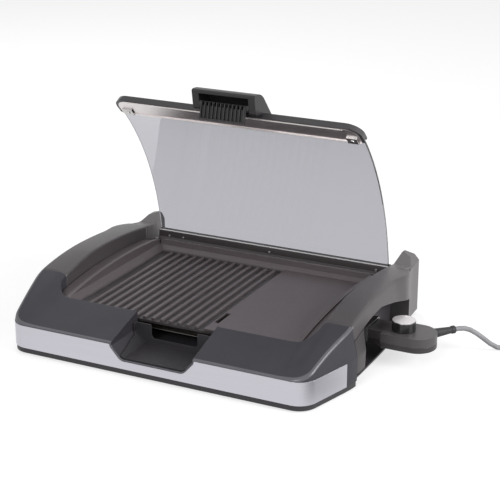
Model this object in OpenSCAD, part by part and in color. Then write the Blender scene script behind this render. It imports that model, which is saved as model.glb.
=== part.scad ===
// Electric indoor grill with a hinged, curved glass lid.
// A cast plate sits in a plastic housing between two arched side handles.
// The drip tray slides out of the front and the thermostat plugs into the right side.
// Lengths are in millimetres, X to the right, Y to the back, Z up, table at z = 0.
// Inside the modules y is counted from the front face, see in_place().

/* [Housing] */
// Depth of the housing, front face to the rear of the hinge towers
depth = 450; // [430:1:470]
// Half width of the straight part of the front
front_half = 233; // [225:1:240]
// Radius of the front corners in plan
corner_r = 32; // [26:1:38]
// Outward flare of the sides behind the front corners, degrees
flare = 15; // [12:0.5:16]
// Height of the flat underside above the table
foot_h = 2.5; // [2:0.5:4]
// Wall of the plastic mouldings
wall = 3; // [2.5:0.1:3.5]

/* [Side arch] */
// Height of the top of the side arch
peak_z = 110.7; // [108:0.5:116]
// Distance of the top of the arch from the front
peak_y = 235; // [228:1:242]
// Radius of the arch in front of its top
arch_front_r = 500; // [490:5:540]
// Radius of the arch behind its top
arch_rear_r = 1000; // [900:10:1200]
// Inward lean of the outer walls, millimetres per millimetre of height
lean = 0.2; // [0.15:0.01:0.22]

/* [Deck] */
// Height of the front edge of the sloping deck
deck_z = 51; // [50:0.5:52]
// Rise of the deck per millimetre of depth
deck_rise = 0.293; // [0.28:0.001:0.3]
// Distance of the front edge of the opening from the front face
opening_y = 82; // [80:0.5:84]
// Distance of the opening's side from the end of the straight front
opening_in = 2; // [1:0.5:3]
// Corner radius of the opening
opening_r = 35; // [33:1:38]
// Distance of the seam between the deck moulding and the handles from the front
seam_y = 122; // [119:1:125]
// Lower edge of the walls round the opening
skirt_z = 62; // [60:0.5:63]

/* [Front band] */
// Lower edge of the steel band
band_z = 11; // [10:0.5:12]
// Upper edge of the steel band
band_top = 48.8; // [47.5:0.1:49]
// Thickness of the steel band
band_t = 0.8; // [0.6:0.1:1]
// Distance of the rear end of the band from the front
band_end = 94.8; // [90:0.2:98]

/* [Tray recess] */
// Half width of the recess above its sloping sides
recess_half = 74; // [72:1:77]
// Half width of the recess floor
recess_floor_half = 55; // [52:1:58]
// Height of the underside of the recess floor
recess_z = 24; // [23:0.5:25]
// Height at which the sloping sides turn upright
recess_turn_z = 45; // [43:0.5:47]
// Corner radius of the recess floor
recess_r = 14; // [10:1:16]

/* [Drip tray] */
// Depth of the tray, front apron and container together
tray_len = 236; // [220:1:245]
// Wall of the tray
tray_wall = 2; // [1.8:0.1:2.5]
// Distance of the tray's partition from the front face
partition_y = 72; // [68:1:75]
// Height of the container's rim
tray_rim_z = 43.5; // [41:0.5:44]
// Height of the two posts of the partition
post_z = 60; // [54:1:61]
// Height of the lower edge of the window between the posts
window_z = 37; // [36:0.5:43]

/* [Grill plate] */
// Distance of the plate's sides from the opening's sides
plate_side = 21; // [19:1:24]
// Distance of the plate's rear wall from the rear of the towers
plate_back = 62; // [60:1:64]
// Height of the cooking surface
plate_z = 65; // [64:0.5:66]
// Thickness of the plate's floor under the cooking surface
plate_t = 8; // [7:0.5:8.5]
// Wall of the plate
plate_wall = 4; // [3.5:0.1:5]
// Height of the top of the plate's side walls
plate_peak_z = 88; // [85:0.5:90]
// Number of ribs on the left half
rib_n = 14; // [10:1:15]
// Spacing of the ribs
rib_pitch = 15.5; // [14:0.1:16]
// Depth of the grooves between the ribs
groove_h = 4; // [2.5:0.5:4.5]
// Place of the middle of the last rib
rib_x = 30; // [26:1:34]

/* [Heating element] */
// Diameter of the element's steel tube
element_d = 7; // [6:0.1:7]

/* [Lid] */
// Distance of the glass's sides from the opening's sides
glass_side = 11; // [9:0.5:14]
// Chord of the curved glass from hinge side to handle side
glass_chord = 276.5; // [272:0.5:280]
// Rise of the glass over its chord
glass_rise = 22.3; // [21:0.1:23]
// Thickness of the glass
glass_t = 4; // [3.5:0.1:4.5]
// Angle by which the lid stands open
lid_open = 61.5; // [58:0.5:64]
// Distance of the hinge axis from the rear of the towers
pivot_back = 34.5; // [33:0.5:36]
// Height of the hinge axis
pivot_z = 68; // [67:0.5:70]
// Diameter of the hinge pins
pin_d = 8; // [6:0.1:9]
// Radial running clearance of the pins, the knob shaft and the probe
running = 0.06; // [0.03:0.01:0.08]
// Length of the front rail beyond the edge of the glass
rail_len = 40; // [38:0.5:41]
// Width of the lid handle at its nose
grip_w = 112; // [110:1:120]
// Number of fins on the finger guard
fin_n = 12; // [9:1:14]

/* [Hinge towers] */
// Height of the towers
tower_z = 110; // [109:0.5:112]
// Depth of the towers, front to back
tower_depth = 65; // [63:1:67]

/* [Thermostat] */
// Distance of the thermostat's middle line from the front face
thermo_y = 252; // [248:1:256]
// Height of the thermostat's underside
thermo_z = 27; // [26:0.5:30]
// Height of the thermostat's body
thermo_h = 24; // [22:0.5:25]
// Width of the thermostat's body
thermo_w = 64; // [60:1:68]
// Length of the thermostat's body
thermo_len = 105; // [99:1:109]
// Diameter of the knob
knob_d = 38; // [34:0.5:40]
// Height of the knob
knob_h = 16; // [14:0.5:18]

/* [Mains lead] */
// Diameter of the mains lead
cord_d = 8; // [7.5:0.1:8]

/* [Hidden] */
gap = 0.3;          // clearance between parts that move past or stand beside each other
eps = 0.01;         // overlap that keeps joined shapes in one solid
big = 600;          // reach of cutting bodies
arc_step = 5;       // degrees between the points of an arc

// Sizes that follow the width and the depth of the housing
opening_half = front_half - opening_in;
plate_half = opening_half - plate_side;
plate_rear = depth - plate_back;
glass_w = 2 * (opening_half - glass_side);
pivot_y = depth - pivot_back;
tower_y = depth - tower_depth;

// Side arch, deck and outline ------------------------------------------------
flare_r = 162;                              // radius that ends the flare of the sides
waist_r = 5340;                             // radius of the nearly straight sides
flare_end = 95;                             // where the straight flare ends
taper = 17;                                 // the sides draw in to the towers
taper_y = depth - 115;
taper_len = 80;
upright_y = depth - 150;                    // behind this the outer walls turn upright
blend_in = front_half - 38;                 // where the deck starts to rise to the arch
blend_out = front_half + 15;                // where it has reached the arch
function drop(d, r) = r - sqrt(r * r - d * d);
function ridge_z(y) =
  peak_z - (y < peak_y ? drop(peak_y - y, arch_front_r) : drop(y - peak_y, arch_rear_r));
function plane_z(y) = deck_z + deck_rise * y;
function smooth(t) = let (c = max(0, min(1, t))) c * c * (3 - 2 * c);
function top_z(x, y) =
  ridge_z(y) - max(0, ridge_z(y) - plane_z(y)) * (1 - smooth((abs(x) - blend_in) / (blend_out - blend_in)));
corner_end_y = corner_r - corner_r * sin(flare);
corner_end_x = front_half + corner_r * cos(flare);
flare_x = corner_end_x + (flare_end - corner_end_y) * tan(flare);
widest_x = flare_x + flare_r * (1 - cos(flare));
widest_y = flare_end + flare_r * sin(flare);
function side_x(y) =
  y < corner_end_y ? front_half + sqrt(max(0, corner_r * corner_r - pow(corner_r - y, 2)))
  : y < flare_end ? corner_end_x + (y - corner_end_y) * tan(flare)
  : y < widest_y ? widest_x - drop(widest_y - y, flare_r)
  : widest_x - drop(y - widest_y, waist_r) - taper * smooth((y - taper_y) / taper_len);
function lean_at(y) = lean * (1 - smooth((y - upright_y) / taper_len));
function wall_x(y, z) = side_x(y) - lean_at(y) * max(0, z - band_top);

// Recess and tray ------------------------------------------------------------
channel_t = 2.5;                            // wall of the recess
tray_z = recess_z + channel_t + gap;        // underside of the tray
tray_y = 4;                                 // front of the tray's apron
tray_rear = tray_y + tray_len;
recess_slope = (recess_half - recess_floor_half) / (recess_turn_z - recess_z);
recess_rear = opening_y;

// Plate and element ----------------------------------------------------------
plate_front = opening_y + 3.5;              // the plate starts just behind the deck's skirt
plate_r = 24;                               // corner radius of the plate in plan
plate_arch_r = 1000;                        // radius of the top of its side walls
plate_arch_y = 265;                         // where these are highest
plate_low = plate_z - plate_t;              // underside of the plate
element_z = plate_low - element_d / 2 - 0.5;
terminal_z = thermo_z + 15;                 // height of the contact pins
terminal_x = plate_half - 6;                // where the element turns down to its terminals
terminal_gap = 22;                          // distance between the two contact pins
contact_d = 5;                              // diameter of the contact pins
probe_d = 6;                                // diameter of the temperature probe

// Tub ------------------------------------------------------------------------
tub_half = opening_half + 5;                // inner half width of the tub
tub_front = 60;
tub_rear = depth - 20;
tub_top = 56;
floor_top = foot_h + wall;
reflector_t = 0.8;
reflector_half = tub_half - 8;
reflector_z = 22;
reflector_top = 58;
tunnel_half = recess_half + 4;              // the reflector rises over the tray
tunnel_z = tray_rim_z + 2.2;
socket_half = 27;                           // half width of the socket in the tub wall

// Lid: a cylinder about lid_c, with angles counted from its crown to the front
glass_r = (glass_chord * glass_chord / 4 + glass_rise * glass_rise) / (2 * glass_rise);
half_angle = asin(glass_chord / 2 / glass_r);
lid_tilt = 2.6;                             // rise of the closed lid's chord to the front
hinge_edge_y = pivot_y - 15.2;              // hinge edge of the closed glass
hinge_edge_z = pivot_z + 10.4;
crown = [sin(lid_tilt), cos(lid_tilt)];
chord = [-cos(lid_tilt), sin(lid_tilt)];
lid_c = [hinge_edge_y, hinge_edge_z] + chord * glass_chord / 2 - crown * (glass_r - glass_rise);
glass_seat = 0.2;                           // sealant gap round the glass in its rails
seat_front = 5.4;                           // depth of the glass in the front rail
seat_rear = 3;
rail_half = glass_w / 2 + 2;                // half length of the front rail
rail_in = 4;                                // rail inside the middle of the glass
rail_out = 6;                               // rail outside it
rail_r = 26;                                // radius of its corners in plan
rail_angle = rail_len / glass_r * 180 / PI;
rear_rail_half = rail_half;
rear_in = 6;
rear_out = 8;
rear_r = 9;                                 // radius of the rear rail round the hinge axis
trim_t = 1;
trim_gap = 0.2;                             // adhesive under the bright strips
lip_t = 1.2;                                // lip of the lining along the glass
lip_w = 3;

// Thermostat -----------------------------------------------------------------
neck_x = tub_half + wall + 22;              // inner end of the body
lower_h = 9.6;                              // height of the lower half of the case
thermo_split = thermo_z + lower_h;
neck_w = 46;
thermo_end = neck_x + thermo_len;
knob_x = neck_x + 51;
knob_z = thermo_z + thermo_h + 0.8;
shaft_d = 6;
relief_len = 38;
relief_turn = 52;                           // direction of the lead in plan, from +X to +Y
lead_z = thermo_z + 16;                     // height of the strain relief
end_x = thermo_end - thermo_w / 2;          // middle of the round end
probe_z = terminal_z + 1;                   // height of the temperature probe
relief_at = [end_x, thermo_y, lead_z] + (thermo_w / 2 + gap) * [cos(relief_turn), sin(relief_turn), 0];
relief_end = relief_at + relief_len * [cos(relief_turn), sin(relief_turn), 0];

// Mains lead: hand-chosen points, as offsets from the end of the strain relief
lead_pts = [
  [0, 0, 0], [5, 6, 0], [12, 13, -1], [20, 20, -5], [29, 26, -12], [38, 31, -20], [48, 36, -29],
  [58, 42, -36], [68, 50, -38.6], [78, 60, -39], [87, 72, -39], [94, 84, -38.5], [96, 94, -38], [96, 104, -38]
];

module in_place() { translate([0, -depth / 2, 0]) children(); }
module both() { children(); mirror([1, 0, 0]) children(); }
module along_x(length) { rotate([90, 0, 90]) linear_extrude(length, center = true) children(); }
module along_y(length) { rotate([90, 0, 0]) mirror([0, 0, 1]) linear_extrude(length) children(); }

// A solid swept through rings of equally many points, closed at both ends.
module loft(rings) {
  n = len(rings);
  m = len(rings[0]);
  polyhedron(
    points = [for (ring = rings) each ring],
    faces = concat(
      [[for (j = [0:m - 1]) j]],
      [for (i = [0:n - 2], j = [0:m - 1]) [i * m + j, (i + 1) * m + j, i * m + (j + 1) % m]],
      [for (i = [0:n - 2], j = [0:m - 1]) [(i + 1) * m + j, (i + 1) * m + (j + 1) % m, i * m + (j + 1) % m]],
      [[for (j = [m - 1:-1:0]) (n - 1) * m + j]]
    )
  );
}

function reversed(list) = [for (k = [len(list) - 1:-1:0]) list[k]];

// A round tube of the given number of sides along points in space.
function tangent(p, i) =
  let (d = i == 0 ? p[1] - p[0] : i == len(p) - 1 ? p[i] - p[i - 1] : p[i + 1] - p[i - 1]) d / norm(d);
function tube_ring(c, t, r, sides) =
  let (s = cross([0, 0, 1], t), e = s / norm(s), u = cross(t, e))
    [for (k = [0:sides - 1]) c + r * (e * cos(k * 360 / sides) + u * sin(k * 360 / sides))];
module tube(points, r, sides) {
  loft([for (i = [0:len(points) - 1]) tube_ring(points[i], tangent(points, i), r, sides)]);
}

// Outline of the housing in plan, moved in by i, from the front to y_end -----
function side_ys(y0, y1) = let (n = ceil((y1 - y0) / 14)) [for (k = [0:n]) y0 + (y1 - y0) * k / n];
function half_outline(i, y_end) = concat(
  [for (a = [0:arc_step:90 - flare])
    [front_half + (corner_r - i) * sin(a), corner_r - (corner_r - i) * cos(a)]],
  [for (y = side_ys(corner_end_y + i, y_end)) [side_x(y) - i, y]]
);
function mirrored(p) = [for (k = [len(p) - 1:-1:0]) [-p[k][0], p[k][1]]];
module outline(i, y_end) {
  right = half_outline(i, y_end);
  polygon(concat(right, mirrored(right)));
}
module outline_ring(outer, thick, y_end) {   // open at the rear
  difference() {
    outline(outer, y_end);
    outline(outer + thick, y_end + 1);
  }
}

// Front view of the recess, moved in by i ------------------------------------
recess_a = atan2(recess_turn_z - recess_z, recess_half - recess_floor_half);
turn_r = 8;
function recess_pts(i, top) = concat(
  [for (a = [0:6]) [
      recess_floor_half - recess_r * tan(recess_a / 2) + (recess_r - i) * sin(recess_a * a / 6),
      recess_z + recess_r - (recess_r - i) * cos(recess_a * a / 6)
    ]],
  [for (a = [0:3]) let (b = recess_a + (90 - recess_a) * a / 3) [
      recess_half - turn_r + (turn_r - i) * sin(b),
      recess_turn_z + turn_r * tan((90 - recess_a) / 2) - (turn_r - i) * cos(b)
    ]],
  [[recess_half - i, top]]
);
module recess_shape(i, top) {
  right = recess_pts(i, top);
  polygon(concat(right, mirrored(right)));
}
module recess_cut(i, y0, y1) { translate([0, y0, 0]) along_y(y1 - y0) recess_shape(i, big / 4); }

// Base pan: floor, dark rim, wall behind the band and the tub ----------------
foot_y = 121;               // the front foot ends here
rear_inset = 12;            // the floor stays inside the handles
rim_in = 1.2;
back_in = band_t + 0.2;
back_t = 2.5;
post_x = front_half + 17;   // feet and screws
foot_x = front_half - 1;    // rear feet
rear_foot_y = depth - 35;
function foot_spots() =       // four at the corners and one under the middle
  [[-post_x, 42], [post_x, 42], [-foot_x, rear_foot_y], [foot_x, rear_foot_y], [0, depth / 2]];
function screw_spots() =
  [[-post_x, 74], [post_x, 74], [-post_x, depth - 46], [post_x, depth - 46],
   [-110, depth - 32], [110, depth - 32]];
boss_h = 14;
screw_r = 2;
module base_pan() color([0.1, 0.1, 0.11]) in_place() {
  difference() {
    union() {
      translate([0, 0, foot_h]) linear_extrude(wall) outline(rim_in, foot_y);
      translate([0, 0, foot_h]) linear_extrude(wall) outline(rear_inset, depth - 1);
      translate([0, 0, foot_h]) linear_extrude(band_z - gap - foot_h) outline_ring(rim_in, wall, foot_y);
      difference() {
        translate([0, 0, band_z - gap - eps]) linear_extrude(band_top - band_z + gap - 0.1)
          outline_ring(back_in, back_t, band_end);
        translate([-tub_half - wall - 25, tub_front, foot_h]) cube([2 * (tub_half + wall + 25), big, big]);
        recess_cut(-gap, -1, corner_r);
      }
      difference() {
        translate([-tub_half - wall, tub_front, floor_top - eps])
          cube([2 * (tub_half + wall), tub_rear + wall - tub_front, tub_top - floor_top]);
        translate([-tub_half, tub_front + wall, floor_top])
          cube([2 * tub_half, tub_rear - tub_front - wall, big]);
        recess_cut(-gap, tub_front - 1, tub_front + wall + 1);
        translate([tub_half - 1, thermo_y - socket_half, thermo_z - 3])
          cube([wall + 2, 2 * socket_half, big]);
      }
      for (p = screw_spots()) translate([p[0], p[1], foot_h])
        cylinder(r = screw_r + 2.5, h = boss_h, $fn = 32);
    }
    for (p = screw_spots()) translate([p[0], p[1], foot_h - 1])
      cylinder(r = screw_r + 0.05, h = boss_h + 2, $fn = 32);
  }
}

module rubber_feet() color([0.07, 0.07, 0.07]) in_place()
  for (p = foot_spots()) translate([p[0], p[1], 0]) cylinder(r = 10, h = foot_h, $fn = 48);

head_h = 1.6;
module base_screws() color("silver") in_place()
  for (p = screw_spots()) translate([p[0], p[1], foot_h]) {
    translate([0, 0, -head_h]) cylinder(r = screw_r + 2, h = head_h, $fn = 32);
    translate([0, 0, -eps]) cylinder(r = screw_r, h = boss_h - 2, $fn = 32);
  }

// Deck: sloping front, shoulders and the wall of the opening -----------------
deck_low = band_top + gap;
inner_corner = [opening_half - opening_r, opening_y + opening_r];
straight_run = front_half - inner_corner[0];
corner_run = corner_r * (90 - flare) * PI / 180;
function on_corner(s) =                       // point and outward normal at distance s past the front flat
  s < straight_run ? [inner_corner[0] + s, 0, 0, -1]
  : let (a = (s - straight_run) / corner_r * 180 / PI)
    [front_half + corner_r * sin(a), corner_r - corner_r * cos(a), sin(a), -cos(a)];
function deck_stations() = concat(
  [for (k = [0:7]) let (x = inner_corner[0] * k / 8) [[x, 0, 0, -1], [x, opening_y]]],
  [for (k = [0:11]) let (a = 90 * k / 12)
    [on_corner((straight_run + corner_run) * k / 12), inner_corner + opening_r * [sin(a), -cos(a)]]],
  [for (k = [0:8]) let (y = corner_end_y + (seam_y - corner_end_y) * k / 8)
    [[side_x(y), y, cos(flare * (1 - k / 8)), -sin(flare * (1 - k / 8))],
     [opening_half, inner_corner[1] + (seam_y - inner_corner[1]) * k / 8]]]
);
function flat(v) = [v[0], v[1]];
function deck_ring(s) =
  let (
    o = flat(s[0]), n = [s[0][2], s[0][3]], i = s[1],
    edge = top_z(o[0], o[1]),
    rise = max(deck_low + 0.6, edge - 3),
    side = o - n * lean * (edge - deck_low),
    lip = side - n * 3,
    across = (lip - i) / norm(lip - i),
    start = i + across * 1.5,
    under = o - n * (wall + lean * (edge - deck_low)),
    skin = i + across * wall,
    top = [for (f = [0:5]) let (p = lip + (start - lip) * f / 5) [p[0], p[1], top_z(p[0], p[1])]],
    below = [for (f = [5:-1:0]) let (p = under + (skin - under) * f / 5)
      [p[0], p[1], max(deck_low + 0.2, top_z(p[0], p[1]) - wall)]],
    low = o - n * lean * (rise - deck_low)
  )
  concat(
    [[o[0], o[1], deck_low], [low[0], low[1], rise]],
    [[side[0] - n[0], side[1] - n[1], edge - 0.9 + 0.15]],
    top,
    [[i[0], i[1], top_z(i[0], i[1]) - 1.5], [i[0], i[1], skirt_z], [skin[0], skin[1], skirt_z]],
    below,
    [[o[0] - n[0] * wall, o[1] - n[1] * wall, deck_low]]
  );
module half_deck() { loft(reversed([for (s = deck_stations()) deck_ring(s)])); }
module deck_frame() color([0.26, 0.25, 0.28]) in_place() {
  difference() {
    both() half_deck();
    recess_cut(channel_t - 0.5, -1, recess_rear + 1);
  }
  // walls and floor of the recess
  intersection() {
    difference() {
      recess_cut(0, 0, recess_rear);
      recess_cut(channel_t, -1, recess_rear + 1);
    }
    along_x(3 * recess_half) polygon([
      [0, 0], [0, deck_z - 0.4], [0.5, deck_z], [recess_rear, plane_z(recess_rear) - 0.1], [recess_rear, 0]
    ]);
  }
  // leg behind the end of the band
  both() loft(reversed([for (y = side_ys(flare_end + gap, seam_y - 0.2)) [
    [side_x(y) - eps, y, band_z], [side_x(y) - eps, y, deck_low + 0.5],
    [side_x(y) - wall + eps, y, deck_low + 0.5], [side_x(y) - wall + eps, y, band_z]
  ]]));
}

// Steel band round the front and its corners ---------------------------------
module front_band() color([0.84, 0.83, 0.86]) in_place()
  difference() {
    translate([0, 0, band_z]) linear_extrude(band_top - band_z) outline_ring(0, band_t, band_end);
    recess_cut(0, -1, corner_r);
  }

// Handles: arched beams, open below ------------------------------------------
handle_y0 = seam_y + gap;
handle_y1 = tower_y - gap;
grip_depth = 23;            // depth of the outer skirt over the finger gap
deepen_y = 240;             // behind this the skirt grows deeper
deepen = 0.184;
function skirt_low(y) = ridge_z(y) - grip_depth - deepen * max(0, y - deepen_y);
function beam_ring(y) =
  let (z = ridge_z(y), zi = top_z(opening_half, y), xr = wall_x(y, z), zl = skirt_low(y), xi = opening_half)
    [for (p = [
      [wall_x(y, zl), zl], [wall_x(y, z - 4), z - 4], [xr - 1.2, z - 1.1], [xr - 4, z],
      [xi + 3, zi], [xi, zi - 3], [xi, skirt_z],
      [xi + wall, skirt_z], [xi + wall, zi - wall - 1],
      [xr - wall - 2, z - wall - 1], [wall_x(y, zl) - wall, zl]
    ]) [p[0], y, p[1]]];
beam_steps = 13;            // stations along the beam
module handle_beam() {
  loft([for (k = [beam_steps:-1:0]) beam_ring(handle_y0 + (handle_y1 - handle_y0) * k / beam_steps)]);
}
module handle_right() color([0.3, 0.3, 0.32]) in_place() handle_beam();
module handle_left() color([0.3, 0.3, 0.32]) in_place() mirror([1, 0, 0]) handle_beam();

// Cheeks: short side walls in front of the finger gaps -----------------------
cheek_z = 22;
cheek_end = 166;
cheek_in = tub_half + wall + gap;
module cheek() {
  loft(reversed([for (y = side_ys(handle_y0, cheek_end)) let (t = skirt_low(y) - gap) [
    [side_x(y), y, cheek_z], [side_x(y), y, band_top], [wall_x(y, t), y, t],
    [wall_x(y, t) - wall, y, t], [side_x(y) - wall, y, band_top], [side_x(y) - wall, y, cheek_z]
  ]]));
  // wall that closes its rear end, and the foot that stands it on the floor of the base
  translate([0, cheek_end - wall - 1, 0]) along_y(wall) polygon([
    [cheek_in, cheek_z + 1], [side_x(cheek_end) - 1.5, cheek_z + 1], [side_x(cheek_end) - 1.5, band_top],
    [wall_x(cheek_end, skirt_low(cheek_end)) - 1.5, skirt_low(cheek_end) - gap - 3],
    [cheek_in, skirt_low(cheek_end) - gap - 3]
  ]);
  translate([cheek_in + 4, cheek_end - wall - 9, floor_top])
    cube([wall + 6, wall + 7, cheek_z - floor_top + 5]);
}
module cheek_right() color([0.24, 0.24, 0.26]) in_place() cheek();
module cheek_left() color([0.24, 0.24, 0.26]) in_place() mirror([1, 0, 0]) cheek();

// Hinge towers ---------------------------------------------------------------
tower_in = tub_half + wall + gap;            // inner face of the lower part
tower_low = floor_top;                       // stands on the floor of the base
upper_in = opening_half + gap;               // inner face above the tub
upper_z = 60;
slope_y = depth - 38;                        // where the front slope of the top starts
boss_r = pin_d / 2 + 5;
pin_end = tower_in + 13;
module tower_side(i) {
  polygon([
    [tower_y + i, tower_low - 1], [tower_y + i, ridge_z(tower_y) - i],
    [slope_y - 14, ridge_z(slope_y - 14) - i],
    [slope_y + i / 2, ridge_z(slope_y) - i], [slope_y + 24, tower_z - 1 - i], [slope_y + 29, tower_z - i],
    [slope_y + 33, tower_z - i], [depth - 1.5 - i, tower_z - 5 - i], [depth - i, tower_z - 11],
    [depth - i, tower_low - 1]
  ]);
}
module tower_front(i) {
  x = side_x(depth);
  polygon([
    [tower_in + i, tower_low - 1], [tower_in + i, upper_z + i], [upper_in + i, upper_z + i],
    [upper_in + i, ridge_z(slope_y)], [upper_in + 5 + i, tower_z - 1 - i], [upper_in + 7 + i, tower_z - i],
    [x - 8 - i, tower_z - 5 - i], [x - 5 - i, tower_z - 9 - i], [x + 1 - i, ridge_z(slope_y) - 1 - i],
    [x + 12 - i, ridge_z(tower_y)], [x + 12 - i, tower_low - 1]
  ]);
}
module tower_body(i) {
  intersection() {
    along_x(big) tower_side(i);
    along_y(big) tower_front(i);
    linear_extrude(big) outline(i, depth);
  }
}
module tower() {
  difference() {
    union() {
      difference() {
        tower_body(0);
        tower_body(wall);
      }
      intersection() {
        tower_body(0);
        translate([upper_in, pivot_y, pivot_z]) rotate([0, 90, 0])
          cylinder(r = boss_r, h = pin_end - upper_in + wall, $fn = 48);
      }
    }
    translate([upper_in - 1, pivot_y, pivot_z]) rotate([0, 90, 0])
      cylinder(r = pin_d / 2 + running, h = pin_end - upper_in + 1.5, $fn = 48);
    translate([0, 0, tower_low - 2]) translate([tower_in - 1, tower_y - 1, 0]) cube([big / 4, big, 2]);
  }
}
module tower_right() color([0.24, 0.24, 0.26]) in_place() tower();
module tower_left() color([0.24, 0.24, 0.26]) in_place() mirror([1, 0, 0]) tower();

// Rear panel between the towers ----------------------------------------------
rear_top = 58;
module rear_panel() color([0.15, 0.15, 0.16]) in_place() {
  difference() {
    translate([-tower_in + gap, depth - 1 - wall, floor_top])
      cube([2 * (tower_in - gap), wall, rear_top - floor_top]);
    for (k = [-6:6]) translate([k * 30 - 8, depth - 2 - wall, 18]) cube([16, wall + 2, 5]);
  }
  translate([-tower_in + gap, tub_rear + wall + gap, rear_top - wall])
    cube([2 * (tower_in - gap), depth - 1 - tub_rear - wall - gap - 1, wall]);
}

// Reflector pan: bright sheet under the plate, hung on the rim of the tub ----
pan_top = tub_top + gap + reflector_t;
pan_front = tub_front + wall + 2;
pan_rear = tub_rear - 6;
tunnel_end = tray_rear + 12;
roof_y = plate_front + 7;                    // drips from the front edge fall into the tray
support_r = 5;
slot_x = rib_x + rib_pitch + 2;              // the drain slot lies beside the last rib
slot_w = 8;
slot_y0 = 115;
slot_y1 = 158;
module reflector_pan() color([0.75, 0.75, 0.76]) in_place() {
  t = reflector_t;
  difference() {
    union() {
      translate([-reflector_half, pan_front, reflector_z])
        cube([2 * reflector_half, pan_rear - pan_front, pan_top - reflector_z]);
      translate([-tub_half - wall, tub_front, pan_top - t])
        cube([2 * (tub_half + wall), tub_rear + wall - tub_front, t]);
    }
    difference() {
      translate([-reflector_half + t, pan_front + t, reflector_z + t])
        cube([2 * (reflector_half - t), pan_rear - pan_front - 2 * t, big]);
      translate([-tunnel_half, pan_front, 0]) cube([2 * tunnel_half, tunnel_end - pan_front, tunnel_z]);
    }
    translate([-tunnel_half + t, 0, 0]) cube([2 * (tunnel_half - t), tunnel_end - t, tunnel_z - t]);
    translate([-tunnel_half + t, 0, 0]) cube([2 * (tunnel_half - t), roof_y, big]);
    translate([slot_x - 8, slot_y0 - 8, 0]) cube([slot_w + 16, slot_y1 - slot_y0 + 16, tunnel_z + 1]);
    translate([reflector_half - 2, thermo_y - socket_half, thermo_z - 3])
      cube([tub_half + wall - reflector_half + 4, 2 * socket_half, big]);
  }
  for (sx = [-1, 1], y = [plate_front + 30, plate_rear - 30])
    translate([sx * (plate_half - 22), y, reflector_z + t / 2])
      cylinder(r = support_r, h = plate_low - gap - reflector_z - t / 2, $fn = 32);
}

// Grill plate: ribs on the left, flat on the right, open over the recess -----
function plate_top(y) = plate_peak_z - drop(abs(y - plate_arch_y), plate_arch_r);
module plate_plan() {
  hull_y = plate_rear - plate_r;
  x = plate_half - plate_r;
  union() {
    translate([-plate_half, plate_front]) square([2 * plate_half, hull_y - plate_front]);
    translate([-x, plate_front]) square([2 * x, plate_rear - plate_front]);
    for (s = [-1, 1]) translate([s * x, hull_y]) circle(r = plate_r, $fn = 64);
  }
}
module plate_wall_section() {
  polygon([
    [plate_half, plate_low], [plate_half, big / 4], [plate_half - plate_wall, big / 4],
    [plate_half - plate_wall - 3, plate_z + 8], [plate_half - plate_wall - 12, plate_z],
    [plate_half - plate_wall - 14, plate_z - groove_h], [plate_half - plate_wall - 14, plate_low]
  ]);
}
module plate_rear_section() {
  polygon([
    [plate_rear, plate_low], [plate_rear, big / 4], [plate_rear - plate_wall, big / 4],
    [plate_rear - plate_wall - 2, plate_z + 6], [plate_rear - plate_wall - 8, plate_z],
    [plate_rear - plate_wall - 9, plate_z - groove_h], [plate_rear - plate_wall - 9, plate_low]
  ]);
}
module rib_section() {
  polygon([
    [-3.6, -groove_h - eps], [-2.4, -0.6], [-1.6, 0], [1.6, 0], [2.4, -0.6], [3.6, -groove_h - eps]
  ]);
}
module grill_plate() color([0.2, 0.19, 0.19]) in_place() {
  rib_y0 = plate_front + 3;
  rib_y1 = plate_rear - plate_wall - 16;
  difference() {
    union() {
      translate([0, 0, plate_low]) linear_extrude(plate_t - groove_h) plate_plan();
      intersection() {
        translate([0, 0, plate_low]) linear_extrude(big / 4) plate_plan();
        along_x(3 * plate_half) polygon(concat(
          [[plate_front, plate_low]],
          [for (y = side_ys(plate_front, plate_rear)) [y, plate_top(y)]],
          [[plate_rear, plate_low]]
        ));
        union() {
          both() translate([0, plate_front, 0]) along_y(plate_rear - plate_front) plate_wall_section();
          along_x(2 * plate_half) plate_rear_section();
        }
      }
      translate([0, 0, plate_z - groove_h - eps]) linear_extrude(groove_h + eps) intersection() {
        plate_plan();
        translate([rib_x + rib_pitch, plate_front])
          square([
            plate_half - plate_wall - rib_x - rib_pitch - 12, plate_rear - plate_front - plate_wall - 8
          ]);
      }
      for (k = [0:rib_n - 1]) translate([rib_x - k * rib_pitch, rib_y0, plate_z])
        along_y(rib_y1 - rib_y0) rib_section();
    }
    translate([slot_x, slot_y0, 0]) cube([slot_w, slot_y1 - slot_y0, big]);
  }
}

// Heating element: one steel tube under the plate, ends turned down ----------
bend_r = 25;
leg_x = plate_half - 45;
back_y = plate_rear - 18;
front_run_y = 120;
leg_y = terminal_gap / 2;
module run(a, b) {
  d = b - a;
  translate([a[0], a[1], element_z]) rotate([0, 90, atan2(d[1], d[0])])
    cylinder(d = element_d, h = norm(d), $fn = 32);
}
module bend(c, start) {
  translate([c[0], c[1], element_z]) rotate([0, 0, start]) rotate_extrude(angle = 90, $fn = 64)
    translate([bend_r, 0]) circle(d = element_d, $fn = 32);
}
module element_end(y) {
  translate([terminal_x, y, element_z]) sphere(d = element_d, $fn = 32);
  translate([terminal_x, y, terminal_z]) sphere(d = element_d, $fn = 32);
  translate([terminal_x, y, terminal_z]) cylinder(d = element_d, h = element_z - terminal_z, $fn = 32);
  translate([terminal_x, y, terminal_z]) rotate([0, 90, 0]) cylinder(d = element_d, h = 10, $fn = 32);
}
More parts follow.
